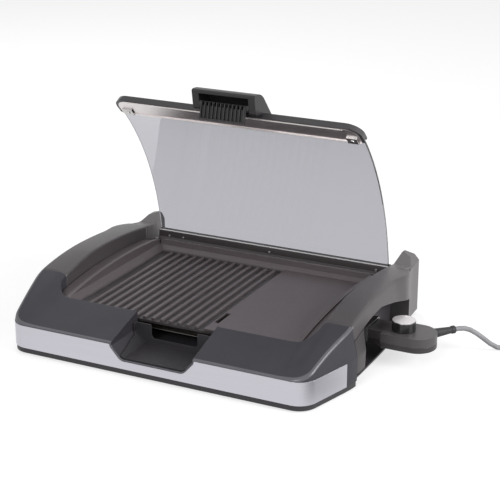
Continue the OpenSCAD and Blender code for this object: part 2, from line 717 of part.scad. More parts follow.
module heating_element() color([0.35, 0.34, 0.33]) in_place() {
  x = leg_x;
  r = bend_r;
  y0 = front_run_y;
  y1 = back_y;
  ya = thermo_y - leg_y;
  yb = thermo_y + leg_y;
  element_end(ya);
  element_end(yb);
  run([x + r, ya], [terminal_x, ya]);
  bend([x + r, ya - r], 90);
  run([x, y0 + r], [x, ya - r]);
  bend([x - r, y0 + r], 270);
  run([-x + r, y0], [x - r, y0]);
  bend([-x + r, y0 + r], 180);
  run([-x, y0 + r], [-x, y1 - r]);
  bend([-x + r, y1 - r], 90);
  run([-x + r, y1], [x - r, y1]);
  bend([x - r, y1 - r], 0);
  run([x, yb + r], [x, y1 - r]);
  bend([x + r, yb + r], 180);
  run([x + r, yb], [terminal_x, yb]);
}

// Clips that hold the element to the underside of the plate ------------------
clip_w = 10;
clip_t = 1.2;
module clip(x, y) {
  w = element_d / 2 + 0.3;
  translate([x, y - clip_w / 2, 0]) along_y(clip_w) difference() {
    translate([-w - clip_t, element_z - w - clip_t])
      square([2 * (w + clip_t), plate_low - element_z + w + clip_t - 0.1]);
    translate([-w, element_z - w]) square([2 * w, big]);
  }
}
module element_clips() color("silver") in_place()
  for (s = [-1, 1], y = [190, 300]) clip(s * leg_x, y);

// Socket: contact pins, guard and earth spring -------------------------------
pin_start = terminal_x + 10;
pin_reach = neck_x + 17;
module contact_pins() color("silver") in_place()
  for (s = [-1, 1]) translate([pin_start, thermo_y + s * terminal_gap / 2, terminal_z]) rotate([0, 90, 0])
    cylinder(d = contact_d, h = pin_reach - pin_start, $fn = 32);
shroud_t = 1;
shroud_half = socket_half - 2;
shroud_low = terminal_z - 9;
shroud_top = terminal_z + 12.5;
module socket_guard() color([0.7, 0.7, 0.7]) in_place() difference() {
  union() {
    translate([reflector_half + gap + 1, thermo_y - shroud_half, shroud_low])
      cube([neck_x - gap - reflector_half - gap - 1, 2 * shroud_half, shroud_top - shroud_low]);
    translate([tub_half + wall + gap, thermo_y - shroud_half - 12, shroud_low])
      cube([shroud_t, 2 * shroud_half + 24, shroud_top - shroud_low]);
  }
  translate([reflector_half + gap + 1 + shroud_t, thermo_y - shroud_half + shroud_t, shroud_low + shroud_t])
    cube([big, 2 * (shroud_half - shroud_t), shroud_top - shroud_low - 2 * shroud_t]);
  for (s = [-1, 1]) translate([reflector_half, thermo_y + s * terminal_gap / 2, terminal_z])
    rotate([0, 90, 0]) cylinder(r = contact_d / 2 + 1.5, h = 6, $fn = 32);
  translate([reflector_half, thermo_y, probe_z]) rotate([0, 90, 0])
    cylinder(r = probe_d / 2 + 1, h = 6, $fn = 32);
}
module earth_spring() color("gold") in_place()
  translate([0, thermo_y - 15, 0]) along_y(5) polygon([
    [reflector_half + 6, shroud_low + shroud_t + 0.1], [neck_x - 3, shroud_low + shroud_t + 0.1],
    [neck_x - 3, shroud_low + shroud_t + 0.9], [neck_x - 9, shroud_low + shroud_t + 0.9],
    [neck_x - 14, shroud_low + shroud_t + 2.6], [neck_x - 19, shroud_low + shroud_t + 0.9],
    [reflector_half + 6, shroud_low + shroud_t + 0.9]
  ]);

// Drip tray and its runners --------------------------------------------------
tray_clear = 1;
tray_in = channel_t + tray_clear;
window_r = 6;                                // lower corners of the window in the partition
module tray_profile(i, top) { recess_shape(tray_in + i, top); }
module drip_tray() color([0.17, 0.17, 0.18]) in_place() {
  shift = tray_z - recess_z - tray_in;       // the tray's floor lies on the recess floor
  intersection() {
    difference() {
      translate([0, tray_y, shift]) along_y(tray_len) tray_profile(0, big / 4);
      translate([0, partition_y + tray_wall, shift])
        along_y(tray_rear - partition_y - 2 * tray_wall) tray_profile(tray_wall, big / 4);
      translate([0, tray_y - 1, shift]) along_y(partition_y - tray_y + 1) tray_profile(tray_wall, big / 4);
      translate([0, partition_y - 1, 0]) along_y(tray_wall + 2) hull() {
        for (s = [-1, 1], z = [window_z + window_r, big / 4])
          translate([s * (guard_half + 1 - window_r), z]) circle(r = window_r, $fn = 32);
      }
    }
    along_x(big / 2) polygon([
      [tray_y, 0], [tray_y, tray_rim_z - 12], [partition_y - 6, tray_rim_z], [partition_y - 6, post_z],
      [partition_y + tray_wall + 1, post_z], [partition_y + tray_wall + 1, tray_rim_z],
      [tray_rear, tray_rim_z], [tray_rear, 0]
    ]);
  }
}
runner_w = 10;
module tray_runners() color([0.2, 0.2, 0.2]) in_place()
  for (s = [-1, 1]) translate([s * 32 - runner_w / 2, recess_rear + gap, floor_top])
    cube([runner_w, tray_rear - recess_rear - 4, tray_z - gap - floor_top]);

// Lid, drawn closed and then opened about the hinge --------------------------
module opened() {
  in_place() translate([0, pivot_y, pivot_z]) rotate([-lid_open, 0, 0])
    translate([0, -pivot_y, -pivot_z]) children();
}
function toward(a) = crown * cos(a) + chord * sin(a);
function lid_point(r, a) = lid_c + toward(a) * (glass_r + r);
// band between two offsets from the middle of the glass and two angles
module arc_band(r0, r1, a0, a1) {
  translate(lid_c) intersection() {
    difference() {
      circle(r = glass_r + r1, $fn = 256);
      circle(r = glass_r + r0, $fn = 256);
    }
    polygon([[0, 0], toward(a0) * big, toward((a0 + a1) / 2) * 1.1 * big, toward(a1) * big]);
  }
}
function arc_angle(length) = length / glass_r * 180 / PI;
rail_a1 = half_angle + rail_angle;
rail_tip = lid_point(rail_out, rail_a1);     // foremost edge of the rail
module glass_slot() {
  along_x(big) arc_band(
    -glass_t / 2 - glass_seat, glass_t / 2 + glass_seat,
    -half_angle - arc_angle(seat_rear + glass_seat), half_angle + arc_angle(seat_front + glass_seat)
  );
}
module lid_glass() color([0.7, 0.7, 0.74, 0.4]) opened()
  along_x(glass_w) arc_band(
    -glass_t / 2, glass_t / 2, -half_angle - arc_angle(seat_rear), half_angle + arc_angle(seat_front)
  );

// Front rail with its bright lining
module rail_plan(i) {
  r = rail_r - i;
  x = rail_half - i;
  y = rail_tip[0] + i;
  translate([0, 0, -big / 2]) linear_extrude(big) union() {
    translate([-x, y + r]) square([2 * x, big]);
    translate([-x + r, y]) square([2 * (x - r), big]);
    for (s = [-1, 1]) translate([s * (x - r), y + r]) circle(r = r, $fn = 64);
  }
}
module front_rail() color([0.13, 0.13, 0.14]) opened() difference() {
  intersection() {
    along_x(2 * rail_half) arc_band(-rail_in, rail_out, half_angle, rail_a1);
    rail_plan(0);
  }
  glass_slot();
}
lining_in = 5;                               // plastic left beyond the ends of the lining
module front_trim() color("silver") opened() intersection() {
  along_x(2 * (rail_half - lining_in)) union() {
    arc_band(-rail_in - trim_t, -rail_in - trim_gap, half_angle, rail_a1 - 0.15);
    arc_band(-rail_in - trim_t - lip_t, -rail_in - trim_t + eps, half_angle, half_angle + arc_angle(lip_w));
  }
  rail_plan(lining_in);
}

// Rear rail, turning on the hinge pins
rear_a0 = -half_angle + 0.1;
pivot = [pivot_y, pivot_z];
rear_n = toward(rear_a0);
rail_top = lid_point(-rear_in, rear_a0);
rear_web = rear_r - 3;                       // the web ends inside the round boss
rail_low = pivot - rear_n * rear_web;
module rear_rail() color([0.16, 0.14, 0.14]) opened() difference() {
  union() {
    along_x(2 * rear_rail_half)
      polygon([rail_top, lid_point(rear_out, rear_a0), pivot + rear_n * rear_web, rail_low]);
    translate([-rear_rail_half, pivot_y, pivot_z]) rotate([0, 90, 0])
      cylinder(r = rear_r, h = 2 * rear_rail_half, $fn = 64);
  }
  glass_slot();
  both() translate([pin_root - 1, pivot_y, pivot_z]) rotate([0, 90, 0])
    cylinder(r = pin_d / 2 + running, h = big, $fn = 48);
}
module rear_trim() color("silver") opened()
  along_x(2 * rear_rail_half - 2)
    arc_band(-rear_in, -glass_t / 2 - glass_seat, rear_a0 + arc_angle(trim_gap), rear_a0 + arc_angle(trim_t));
pin_root = rear_rail_half - 30;
module hinge_pins() color([0.6, 0.6, 0.62]) opened()
  both() translate([pin_root, pivot_y, pivot_z]) rotate([0, 90, 0])
    cylinder(d = pin_d, h = pin_end - pin_root, $fn = 48);
screw_at = rail_top + (rail_low - rail_top) * 0.42;
screw_turn = atan2((rail_low - rail_top)[1], (rail_low - rail_top)[0]);
module rail_screws() color("silver") opened()
  for (x = [22 - rear_rail_half, 50 - rear_rail_half, 0, rear_rail_half - 22])
    translate([x, screw_at[0], screw_at[1]]) rotate([screw_turn, 0, 0])
      translate([0, 0, -1.2]) cylinder(r = 2.4, h = 1.2, $fn = 32);

// Grip: a hollow block on the middle of the front rail, open below
grip_wall = 12;                              // its end walls
module grip_section() {
  t = rail_tip;
  polygon([
    t + [-43, -13], t + [-43.6, -10], t + [-42, -6], t + [-36, 3], t + [-29, 9], t + [-21, 12.6], t + [4, 18],
    t + [24, 22.5], t + [29, 21.5], t + [31, 18], t + [31, 6], t + [0, -4.5], t + [-5, -11], t + [-12, -21.5],
    t + [-16, -22.4], t + [-39, -14.5]
  ]);
}
module grip_space() {
  t = rail_tip;
  polygon([
    t + [-40, -30], t + [-39.4, -13], t + [-38, -8], t + [-32, 0], t + [-24, 5.5], t + [4, 12.5],
    t + [24, 17], t + [25, 0], t + [0, -30]
  ]);
}
module lid_grip() color([0.16, 0.16, 0.17]) opened() difference() {
  along_x(grip_w) grip_section();
  along_x(grip_w - 2 * grip_wall) grip_space();
  along_x(big) arc_band(-rail_in - trim_t - lip_t - 0.1, rail_out + 0.05, 0, rail_a1 + arc_angle(0.1));
}

// Finger guard: a ribbed plate behind the grip
guard_top = [-27.5, -17.5];                  // offsets from the rail's edge
guard_low = [-5.5, -37];
guard_half = 40;                             // half width of its lower part, between the tray's posts
guard_wing_z = post_z + 1.4;                 // above this it reaches the walls of the grip
guard_t = 2.5;
fin_t = 2;
fin_h = 4;
guard_len = norm(guard_low - guard_top);
guard_dir = (guard_low - guard_top) / guard_len;
guard_out = [guard_dir[1], -guard_dir[0]];   // towards the fingers
guard_rim = 3;                               // height of the lip along its lower edge
fin_edge = 1;                                // fins end this far inside the plate's edges
module guard_band(lo, hi, from, to) {
  a = rail_tip + guard_top + guard_dir * from;
  b = rail_tip + guard_top + guard_dir * to;
  polygon([a + guard_out * lo, b + guard_out * lo, b + guard_out * hi, a + guard_out * hi]);
}
module finger_guard() color([0.22, 0.22, 0.23]) opened() difference() {
  span = 2 * (guard_half - fin_edge) - fin_t;
  union() {
    along_x(grip_w - 2 * grip_wall - 0.1) union() {
      guard_band(-guard_t, 0, 0, guard_len);
      guard_band(-guard_t, fin_h + 0.4, guard_len - guard_rim, guard_len);
    }
    for (k = [0:fin_n - 1]) translate([span * (k / (fin_n - 1) - 0.5), 0, 0])
      along_x(fin_t) guard_band(-1, fin_h, fin_edge, guard_len - 1);
  }
  both() translate([guard_half, -big / 2, guard_wing_z - big]) cube(big);
}

// Clips at the front corners of the glass
clip_x = rail_half - 19;
module glass_clips() color("silver") opened()
  for (s = [-1, 1]) {
    translate([s * clip_x, 0, 0]) along_x(18) arc_band(
      -rail_in - trim_t - lip_t - 1.5, -rail_in - trim_t - lip_t,
      half_angle - arc_angle(1), half_angle + arc_angle(15)
    );
    translate([s * clip_x, 0, 0]) along_x(18) arc_band(
      -rail_in - trim_t - lip_t - eps, -rail_in - trim_t,
      half_angle + arc_angle(12), half_angle + arc_angle(15)
    );
    on_lid(s * clip_x, -rail_in - trim_t - lip_t - 1.5, half_angle + arc_angle(7)) translate([0, 0, -1.4])
      cylinder(r = 3, h = 1.4 + eps, $fn = 32);
  }
module on_lid(x, r, a) {
  p = lid_point(r, a);
  translate([x, p[0], p[1]]) rotate([atan2(toward(a)[1], toward(a)[0]) - 90, 0, 0]) children();
}

// Thermostat: a flat case on the lead, plugged into the right side -----------
probe_tip = plate_half - 34;
case_t = 2.5;
case_x = neck_x + 24;
module case_plan(i) {
  union() {
    translate([end_x, thermo_y]) circle(d = thermo_w - 2 * i, $fn = 96);
    translate([case_x + i, thermo_y - thermo_w / 2 + i]) square([end_x - case_x - i, thermo_w - 2 * i]);
    translate([neck_x + i, thermo_y - neck_w / 2 + i]) square([case_x - neck_x + 1, neck_w - 2 * i]);
  }
}
module on_relief() { translate(relief_at) rotate([0, 0, relief_turn]) rotate([0, 90, 0]) children(); }
module case_holes() {
  for (y = [thermo_y - terminal_gap / 2, thermo_y + terminal_gap / 2])
    translate([neck_x - 1, y, terminal_z]) rotate([0, 90, 0])
      cylinder(r = contact_d / 2 + 0.5, h = case_t + 2, $fn = 32);
  translate([neck_x - 1, thermo_y, probe_z]) rotate([0, 90, 0])
    cylinder(r = probe_d / 2 + running, h = case_t + 2, $fn = 32);
  translate([knob_x, thermo_y, thermo_split]) cylinder(r = shaft_d / 2 + running, h = thermo_h, $fn = 32);
  on_relief() translate([0, 0, -case_t - 2]) cylinder(r = relief_neck + 0.2, h = case_t + 2 + 4, $fn = 48);
}
module thermostat_lower() color([0.12, 0.12, 0.13]) in_place() difference() {
  translate([0, 0, thermo_z]) linear_extrude(thermo_split - thermo_z) case_plan(0);
  translate([0, 0, thermo_z + case_t]) linear_extrude(thermo_h) case_plan(case_t);
  case_holes();
}
module thermostat_upper() color([0.16, 0.16, 0.17]) in_place() difference() {
  translate([0, 0, thermo_split]) linear_extrude(thermo_h - (thermo_split - thermo_z)) case_plan(0);
  translate([0, 0, thermo_split - 1])
    linear_extrude(thermo_h - (thermo_split - thermo_z) - case_t + 1) case_plan(case_t);
  case_holes();
}
module probe() color("silver") in_place() {
  translate([probe_tip, thermo_y, probe_z]) rotate([0, 90, 0])
    cylinder(d = probe_d, h = neck_x + 20 - probe_tip, $fn = 48);
  translate([neck_x + case_t + 0.1, thermo_y, probe_z]) rotate([0, 90, 0])
    cylinder(d = probe_d + 4, h = 3, $fn = 48);
}
sleeve_x = neck_x + case_t + gap;
module contact_sleeves() color("gold") in_place()
  for (s = [-1, 1]) translate([sleeve_x, thermo_y + s * terminal_gap / 2, terminal_z])
    rotate([0, 90, 0]) difference() {
      cylinder(r = contact_d / 2 + 1.2, h = 22, $fn = 32);
      translate([0, 0, -1]) cylinder(r = contact_d / 2 + running, h = 24, $fn = 32);
    }
switch_half = 11;
switch_h = 9;
switch_len = 36;
switch_x = knob_x - 14;
module bimetal_switch() color([0.5, 0.45, 0.38]) in_place()
  translate([switch_x, thermo_y - switch_half, thermo_z + case_t])
    cube([switch_len, 2 * switch_half, switch_h]);
module thermostat_screws() color("silver") in_place()
  for (p = [[case_x + 8, -thermo_w / 2 + 9], [case_x + 8, thermo_w / 2 - 9], [end_x + 14, 0]])
    translate([p[0], thermo_y + p[1], thermo_z - 0.9]) {
      cylinder(r = 3, h = 0.9, $fn = 32);
    }
relief_neck = 4.4;
relief_flange = 5.3;
relief_r = 7.5;
relief_tip_r = 5.4;
module strain_relief() color([0.1, 0.1, 0.1]) in_place() on_relief() rotate_extrude($fn = 48) polygon([
  [0, -5.5], [relief_flange, -5.5], [relief_flange, -3.3], [relief_neck, -3.3], [relief_neck, 0],
  [relief_r, 0],
  [relief_r - 0.3, 5], [relief_tip_r, relief_len - 8], [relief_tip_r + 1, relief_len - 6],
  [relief_tip_r + 1, relief_len - 1], [relief_tip_r, relief_len], [0, relief_len]
]);

// Mains lead: lead, coil of the rest, tail and plug ---------------------------
lead_points = [for (p = lead_pts) relief_end + p];
lead_last = lead_points[len(lead_points) - 1];
module cord_lead() color([0.12, 0.12, 0.13]) in_place() tube(lead_points, cord_d / 2, 10);

coil_turns = 4.5;           // wound in, and out again on top
coil_r = 52;                // radius of the outermost turn
coil_step = 8.9;            // distance between neighbouring turns and layers
coil_steps = 24;            // rings a turn
coil_mid = coil_turns / 2;
coil_c = lead_last + [coil_r, cord_d, 0];
function coil_at(t) =       // t in turns, clockwise from the left
  let (
    a = 180 - 360 * t,
    r = coil_r - coil_step * (coil_mid - abs(t - coil_mid)),
    up = (1 - cos(180 * max(0, min(1, (t - coil_mid + 0.25) * 2)))) / 2
  )
  coil_c + [r * cos(a), r * sin(a), coil_step * up];
coil_points = concat(
  [lead_last],
  [for (k = [0:coil_turns * coil_steps]) coil_at(k / coil_steps)],
  [coil_at(coil_turns) - [0, cord_d, 0]]
);
module cord_coil() color([0.12, 0.12, 0.13]) in_place() tube(coil_points, cord_d / 2, 6);
coil_last = coil_points[len(coil_points) - 1];
coil_gap = min([for (i = [0:3:len(coil_points) - 1], j = [i + 9:len(coil_points) - 1])
  norm(coil_points[i] - coil_points[j])]) - cord_d;
echo(least_gap_of_the_coil_to_itself = coil_gap);

tail_pts = [[0, 0, 0], [0, -8, 0.4], [0, -18, 1.6], [0, -28, 3.2], [0, -38, 4.4], [0, -46, 4.8]];
tail_points = [for (p = tail_pts) coil_last + p];
tail_last = tail_points[len(tail_points) - 1];
module cord_tail() color([0.12, 0.12, 0.13]) in_place() tube(tail_points, cord_d / 2, 10);

tie_t = 0.8;
tie_w = 12;
tie_in = coil_r - coil_step * coil_mid - cord_d / 2 - 1.6;
tie_out = coil_r + cord_d / 2 + 1.6;
tie_low = coil_c[2] - cord_d / 2 - tie_t - 0.1;
tie_high = coil_c[2] + coil_step + cord_d / 2 + tie_t + 0.2;
module cord_tie() color([0.08, 0.08, 0.08]) in_place() translate([coil_c[0], coil_c[1], 0]) difference() {
  translate([-tie_w / 2, tie_in, tie_low]) cube([tie_w, tie_out - tie_in, tie_high - tie_low]);
  translate([-tie_w, tie_in + tie_t, tie_low + tie_t])
    cube([2 * tie_w, tie_out - tie_in - 2 * tie_t, tie_high - tie_low - 2 * tie_t]);
}
plug_r = 18;
plug_len = 50;
module at_plug() { translate(tail_last) rotate([90, 0, 0]) children(); }
module mains_plug() color([0.1, 0.1, 0.1]) in_place() at_plug() rotate_extrude($fn = 64) polygon([
  [0, 0], [5.5, 0], [6.5, 3], [8.5, 18], [12, 24], [plug_r - 1.5, 32], [plug_r - 0.3, 36],
  [plug_r - 0.3, plug_len - 2], [plug_r - 2, plug_len], [0, plug_len]
]);
prong_gap = 19;
prong_d = 4.8;
prong_len = 19;
module plug_pins() color("silver") in_place() at_plug() for (s = [-1, 1])
  translate([s * prong_gap / 2, 0, plug_len]) cylinder(d = prong_d, h = prong_len, $fn = 32);

// Knob on the thermostat -----------------------------------------------------
cap_t = 1.5;
knob_bore = 9.6;                             // depth of the knob's hole for the shaft
shaft_z = thermo_z + case_t + switch_h + gap;
module knob() color([0.14, 0.14, 0.15]) in_place() translate([knob_x, thermo_y, knob_z]) difference() {
  cylinder(d = knob_d, h = knob_h - cap_t, $fn = 96);
  translate([0, 0, -1]) cylinder(d = shaft_d + 0.02, h = knob_bore + 1, $fn = 32);
}
module knob_cap() color("silver") in_place() translate([knob_x, thermo_y, knob_z + knob_h - cap_t])
  difference() {
    cylinder(d = knob_d - 1, h = cap_t, $fn = 96);
    translate([0, knob_d / 2 - 5, cap_t - 0.4]) cylinder(d = 2.5, h = 1, $fn = 32);
  }
module knob_shaft() color("silver") in_place()
  translate([knob_x, thermo_y, shaft_z])
    cylinder(d = shaft_d, h = knob_z + knob_bore - 1 - shaft_z, $fn = 32);

base_pan();
deck_frame();
front_band();
handle_left();
handle_right();
cheek_left();
cheek_right();
tower_left();
tower_right();
rear_panel();
reflector_pan();
grill_plate();
heating_element();
element_clips();
contact_pins();
socket_guard();
earth_spring();
tray_runners();
rubber_feet();
base_screws();
drip_tray();
lid_glass();
front_rail();
front_trim();
rear_rail();
rear_trim();
lid_grip();
finger_guard();
glass_clips();
rail_screws();
hinge_pins();
thermostat_lower();
thermostat_upper();
probe();
contact_sleeves();
bimetal_switch();
thermostat_screws();
strain_relief();
cord_lead();
cord_coil();
cord_tail();
cord_tie();
mains_plug();
plug_pins();
knob();
knob_cap();
knob_shaft();
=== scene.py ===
"""Table grill with a hinged glass lid: finish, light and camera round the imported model.

Lengths are in metres, X to the right, Y to the back, Z up, table at z = 0.
"""

import bpy
import numpy as np
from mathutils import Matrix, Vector


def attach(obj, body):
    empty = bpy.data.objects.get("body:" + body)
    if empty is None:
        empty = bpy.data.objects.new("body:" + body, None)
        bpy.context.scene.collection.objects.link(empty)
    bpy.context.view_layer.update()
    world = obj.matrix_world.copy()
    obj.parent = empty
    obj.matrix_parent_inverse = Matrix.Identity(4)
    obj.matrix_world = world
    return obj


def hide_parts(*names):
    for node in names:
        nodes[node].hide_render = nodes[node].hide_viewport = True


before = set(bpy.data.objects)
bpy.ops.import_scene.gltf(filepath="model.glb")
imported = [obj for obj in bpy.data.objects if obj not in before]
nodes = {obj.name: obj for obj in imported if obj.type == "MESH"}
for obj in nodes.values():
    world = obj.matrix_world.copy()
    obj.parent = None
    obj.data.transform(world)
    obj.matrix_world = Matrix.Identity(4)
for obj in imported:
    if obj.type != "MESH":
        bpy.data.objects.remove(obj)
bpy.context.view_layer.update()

# ---------------------------------------------------------------- Camera
# A long lens, a little above the table, looking from the front right. The frame
# is taken as 500 x 500.
LOOK_AT = Vector((0.16832, -0.225, 0.2412))
STAND_OFF = 2.06413
SWING = np.radians(26.65)
DIP = np.radians(19.7)
lens = bpy.data.cameras.new("studio_lens")
lens.lens = 104.5
lens.sensor_width = 36.0
lens.clip_start = 0.05
lens.clip_end = 60.0
camera = bpy.data.objects.new("studio_camera", lens)
bpy.context.scene.collection.objects.link(camera)
sight = Vector((-np.sin(SWING) * np.cos(DIP), np.cos(SWING) * np.cos(DIP), -np.sin(DIP)))
camera.location = LOOK_AT - sight * STAND_OFF
camera.rotation_mode = "QUATERNION"
camera.rotation_quaternion = sight.to_track_quat("-Z", "Y")
bpy.context.scene.camera = camera

# ---------------------------------------------------------------- Mains lead
# One round rubber-sheathed lead: out of the strain relief, down to the table,
# into a coil of four and a half turns, and back over it to the plug.
LEAD_R = 0.004
RELIEF_END = np.array((0.37728, 0.08240, 0.043))
LEAD_STEPS = np.array((
    (0, 0, 0), (5, 6, 0), (12, 13, -1), (20, 20, -5), (29, 26, -12), (38, 31, -20), (48, 36, -29),
    (58, 42, -36), (68, 50, -38.6), (78, 60, -39), (87, 72, -39), (94, 84, -38.5), (96, 94, -38),
    (96, 104, -38),
)) / 1000
COIL_TURNS = 4.5
TURN_POINTS = 24
CLIMB = 0.5
COIL_R = 0.052
COIL_STEP = 0.0089
TAIL_STEPS = np.array((
    (0, 0, 0), (0, -8, 0.4), (0, -18, 1.6), (0, -28, 3.2), (0, -38, 4.4), (0, -46, 4.8),
)) / 1000


def coil_line(middle):
    """Turns counted from the left, clockwise: the radius falls by one step a turn to the middle of the
    winding and grows again, while the height rises by one step in a cosine over the climb in its middle."""
    turn = np.linspace(0, COIL_TURNS, int(COIL_TURNS * TURN_POINTS) + 1)
    half = COIL_TURNS / 2
    angle = np.radians(180 - 360 * turn)
    radius = COIL_R - COIL_STEP * (half - np.abs(turn - half))
    lift = COIL_STEP * (1 - np.cos(np.pi * np.clip((turn - half + CLIMB / 2) / CLIMB, 0, 1))) / 2
    return middle + np.stack((radius * np.cos(angle), radius * np.sin(angle), lift), axis=1)


lead_line = RELIEF_END + LEAD_STEPS
turns_line = coil_line(lead_line[-1] + np.array((COIL_R, 2 * LEAD_R, 0)))
tail_line = turns_line[-1] - np.array((0, 2 * LEAD_R, 0)) + TAIL_STEPS
cord_line = np.concatenate((lead_line, turns_line, tail_line))


def colour(red, green, blue):
    """Screen values from 0 to 255 as the linear values a shader reads, by the standard screen curve."""
    screen = np.array((red, green, blue)) / 255
    linear = np.where(screen > 0.04045, ((screen + 0.055) / 1.055) ** 2.4, screen / 12.92)
    return (*(float(c) for c in linear), 1.0)


class Finish:
    """One material: a Principled surface, with short calls for the patterns on it."""

    def __init__(self, name, base, rough, metal=0.0, gloss=0.5):
        self.material = bpy.data.materials.new(name)
        self.material.use_nodes = True
        self.tree = self.material.node_tree
        self.surface = self.tree.nodes["Principled BSDF"]
        self.surface.inputs["Base Color"].default_value = base
        self.surface.inputs["Roughness"].default_value = rough
        self.surface.inputs["Metallic"].default_value = metal
        self.surface.inputs["Specular IOR Level"].default_value = gloss
        self.base = base
        self.place = self.add("ShaderNodeTexCoord").outputs["Object"]

    def add(self, kind, **values):
        node = self.tree.nodes.new(kind)
        for key, value in values.items():
            setattr(node, key, value)
        return node

    def link(self, source, target):
        self.tree.links.new(source, target)

    def stretched(self, scale, centre=(0, 0, 0)):
        """Object coordinates from the centre, multiplied axis by axis."""
        mapping = self.add("ShaderNodeMapping")
        mapping.inputs["Location"].default_value = [-c * s for c, s in zip(centre, scale)]
        mapping.inputs["Scale"].default_value = scale
        self.link(self.place, mapping.inputs["Vector"])
        return mapping.outputs["Vector"]

    def noise(self, scale, detail, vector=None):
        texture = self.add("ShaderNodeTexNoise")
        texture.inputs["Scale"].default_value = scale
        texture.inputs["Detail"].default_value = detail
        self.link(vector or self.place, texture.inputs["Vector"])
        return texture.outputs["Fac"]

    def tint(self, value, amount):
        """The base colour, from darker to lighter by the amount as the value goes from 0.3 to 0.7."""
        node = self.add("ShaderNodeValToRGB")
        stops = ((0.3, 1 - amount), (0.7, 1 + amount))
        for element, (where, share) in zip(node.color_ramp.elements, stops):
            element.position = where
            element.color = tuple(min(1.0, c * share) for c in self.base[:3]) + (1.0,)
        self.link(value, node.inputs["Fac"])
        self.link(node.outputs["Color"], self.surface.inputs["Base Color"])

    def roughen(self, value, low, high):
        """Roughness from low to high as the value goes from 0 to 1."""
        node = self.add("ShaderNodeMapRange")
        node.inputs["To Min"].default_value = low
        node.inputs["To Max"].default_value = high
        self.link(value, node.inputs["Value"])
        self.link(node.outputs["Result"], self.surface.inputs["Roughness"])

    def bump(self, value, depth):
        """Relief of the given depth in metres, added to what is there."""
        node = self.add("ShaderNodeBump")
        node.inputs["Strength"].default_value = 1.0
        node.inputs["Distance"].default_value = depth
        self.link(value, node.inputs["Height"])
        normal = self.surface.inputs["Normal"]
        if normal.is_linked:
            self.link(normal.links[0].from_socket, node.inputs["Normal"])
        self.link(node.outputs["Normal"], normal)


def rubber(name, base):
    """Matt rubber: a fine cloudy grain, slightly uneven in shade."""
    finish = Finish(name, base, 0.6, gloss=0.3)
    finish.tint(finish.noise(90, 3), 0.12)
    finish.roughen(finish.noise(260, 2), 0.5, 0.72)
    finish.bump(finish.noise(3200, 2), 0.00004)
    return finish.material


sheath = rubber("lead_sheath", colour(138, 137, 140))
cord_curve = bpy.data.curves.new("mains_lead", "CURVE")
cord_curve.dimensions = "3D"
cord_curve.bevel_depth = LEAD_R
cord_curve.bevel_resolution = 5
cord_curve.resolution_u = 3
cord_curve.use_fill_caps = True
spline = cord_curve.splines.new("POLY")
spline.points.add(len(cord_line) - 1)
spline.points.foreach_set("co", np.column_stack((cord_line, np.ones(len(cord_line)))).ravel())
spline.use_smooth = True
mains_lead = bpy.data.objects.new("mains_lead", cord_curve)
bpy.context.scene.collection.objects.link(mains_lead)
mains_lead.data.materials.append(sheath)
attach(mains_lead, "thermostat")
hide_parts("cord_lead", "cord_coil", "cord_tail")


JOIN_WITHIN = 0.00001
FLAT_WITHIN = np.radians(0.6)
FLAT_WEIGHT = 80


def soften(piece, width, sides, angle):
    """A solid of the model with its loose triangles joined, its sharp edges rounded to the width, and its
    large faces kept flat in the shading. With no width, the sharp edges are only split."""
    mesh = piece.data
    if "custom_normal" in mesh.attributes:
        mesh.attributes.remove(mesh.attributes["custom_normal"])
    mesh.polygons.foreach_set("use_smooth", np.ones(len(mesh.polygons), dtype=bool))
    weld = piece.modifiers.new("joined", "WELD")
    weld.merge_threshold = JOIN_WITHIN
    if width:
        plane = piece.modifiers.new("faces", "DECIMATE")
        plane.decimate_type = "DISSOLVE"
        plane.angle_limit = FLAT_WITHIN
        round_off = piece.modifiers.new("rounded", "BEVEL")
        round_off.width = width
        round_off.segments = sides
        round_off.limit_method = "ANGLE"
        round_off.angle_limit = np.radians(angle)
        round_off.harden_normals = False
        even = piece.modifiers.new("shaded", "WEIGHTED_NORMAL")
        even.weight = FLAT_WEIGHT
    else:
        split = piece.modifiers.new("shaded", "EDGE_SPLIT")
        split.split_angle = np.radians(angle)


def dress(material, *names, width=0.0, sides=2, angle=30.0):
    """The material on solids of the model, with their edges rounded."""
    for name in names:
        piece = nodes[name]
        soften(piece, width, sides, angle)
        piece.data.materials.clear()
        piece.data.materials.append(material)


def moulded(name, base, rough, gloss=0.35):
    """Moulded plastic with a fine spark-eroded grain: two sizes of bump, and a sheen that varies a little."""
    finish = Finish(name, base, rough, gloss=gloss)
    finish.tint(finish.noise(22, 3), 0.05)
    finish.roughen(finish.noise(160, 2), rough - 0.05, rough + 0.06)
    finish.bump(finish.noise(2600, 2), 0.00003)
    finish.bump(finish.noise(900, 1), 0.00002)
    return finish.material


def metal(name, base, rough, streaks, depth=0.000004):
    """Bare metal with marks drawn out along one or more axes."""
    finish = Finish(name, base, rough, metal=1.0)
    marks = finish.noise(1, 2, finish.stretched(streaks))
    finish.tint(marks, 0.06)
    finish.roughen(marks, rough * 0.8, rough * 1.25)
    finish.bump(marks, depth)
    return finish.material


plug_black = rubber("plug_black", colour(52, 51, 53))
zinc = metal("zinc_steel", colour(200, 199, 198), 0.3, (700, 700, 700))
dress(plug_black, "mains_plug", "strain_relief", "cord_tie", width=0.0004)
dress(zinc, "plug_pins", width=0.0005)

# ---------------------------------------------------------------- Base
# A black moulded pan with a dark rim round its foot, the tub inside it and the
# vented panel behind. It stands on rubber feet and is held by steel screws.
base_black = moulded("base_black", colour(52, 50, 53), 0.5)
dress(base_black, "base_pan", "rear_panel", "tray_runners", width=0.0006)
foot_rubber = rubber("foot_rubber", colour(38, 38, 38))
dress(foot_rubber, "rubber_feet", width=0.0006)
dress(zinc, "base_screws", width=0.0003)

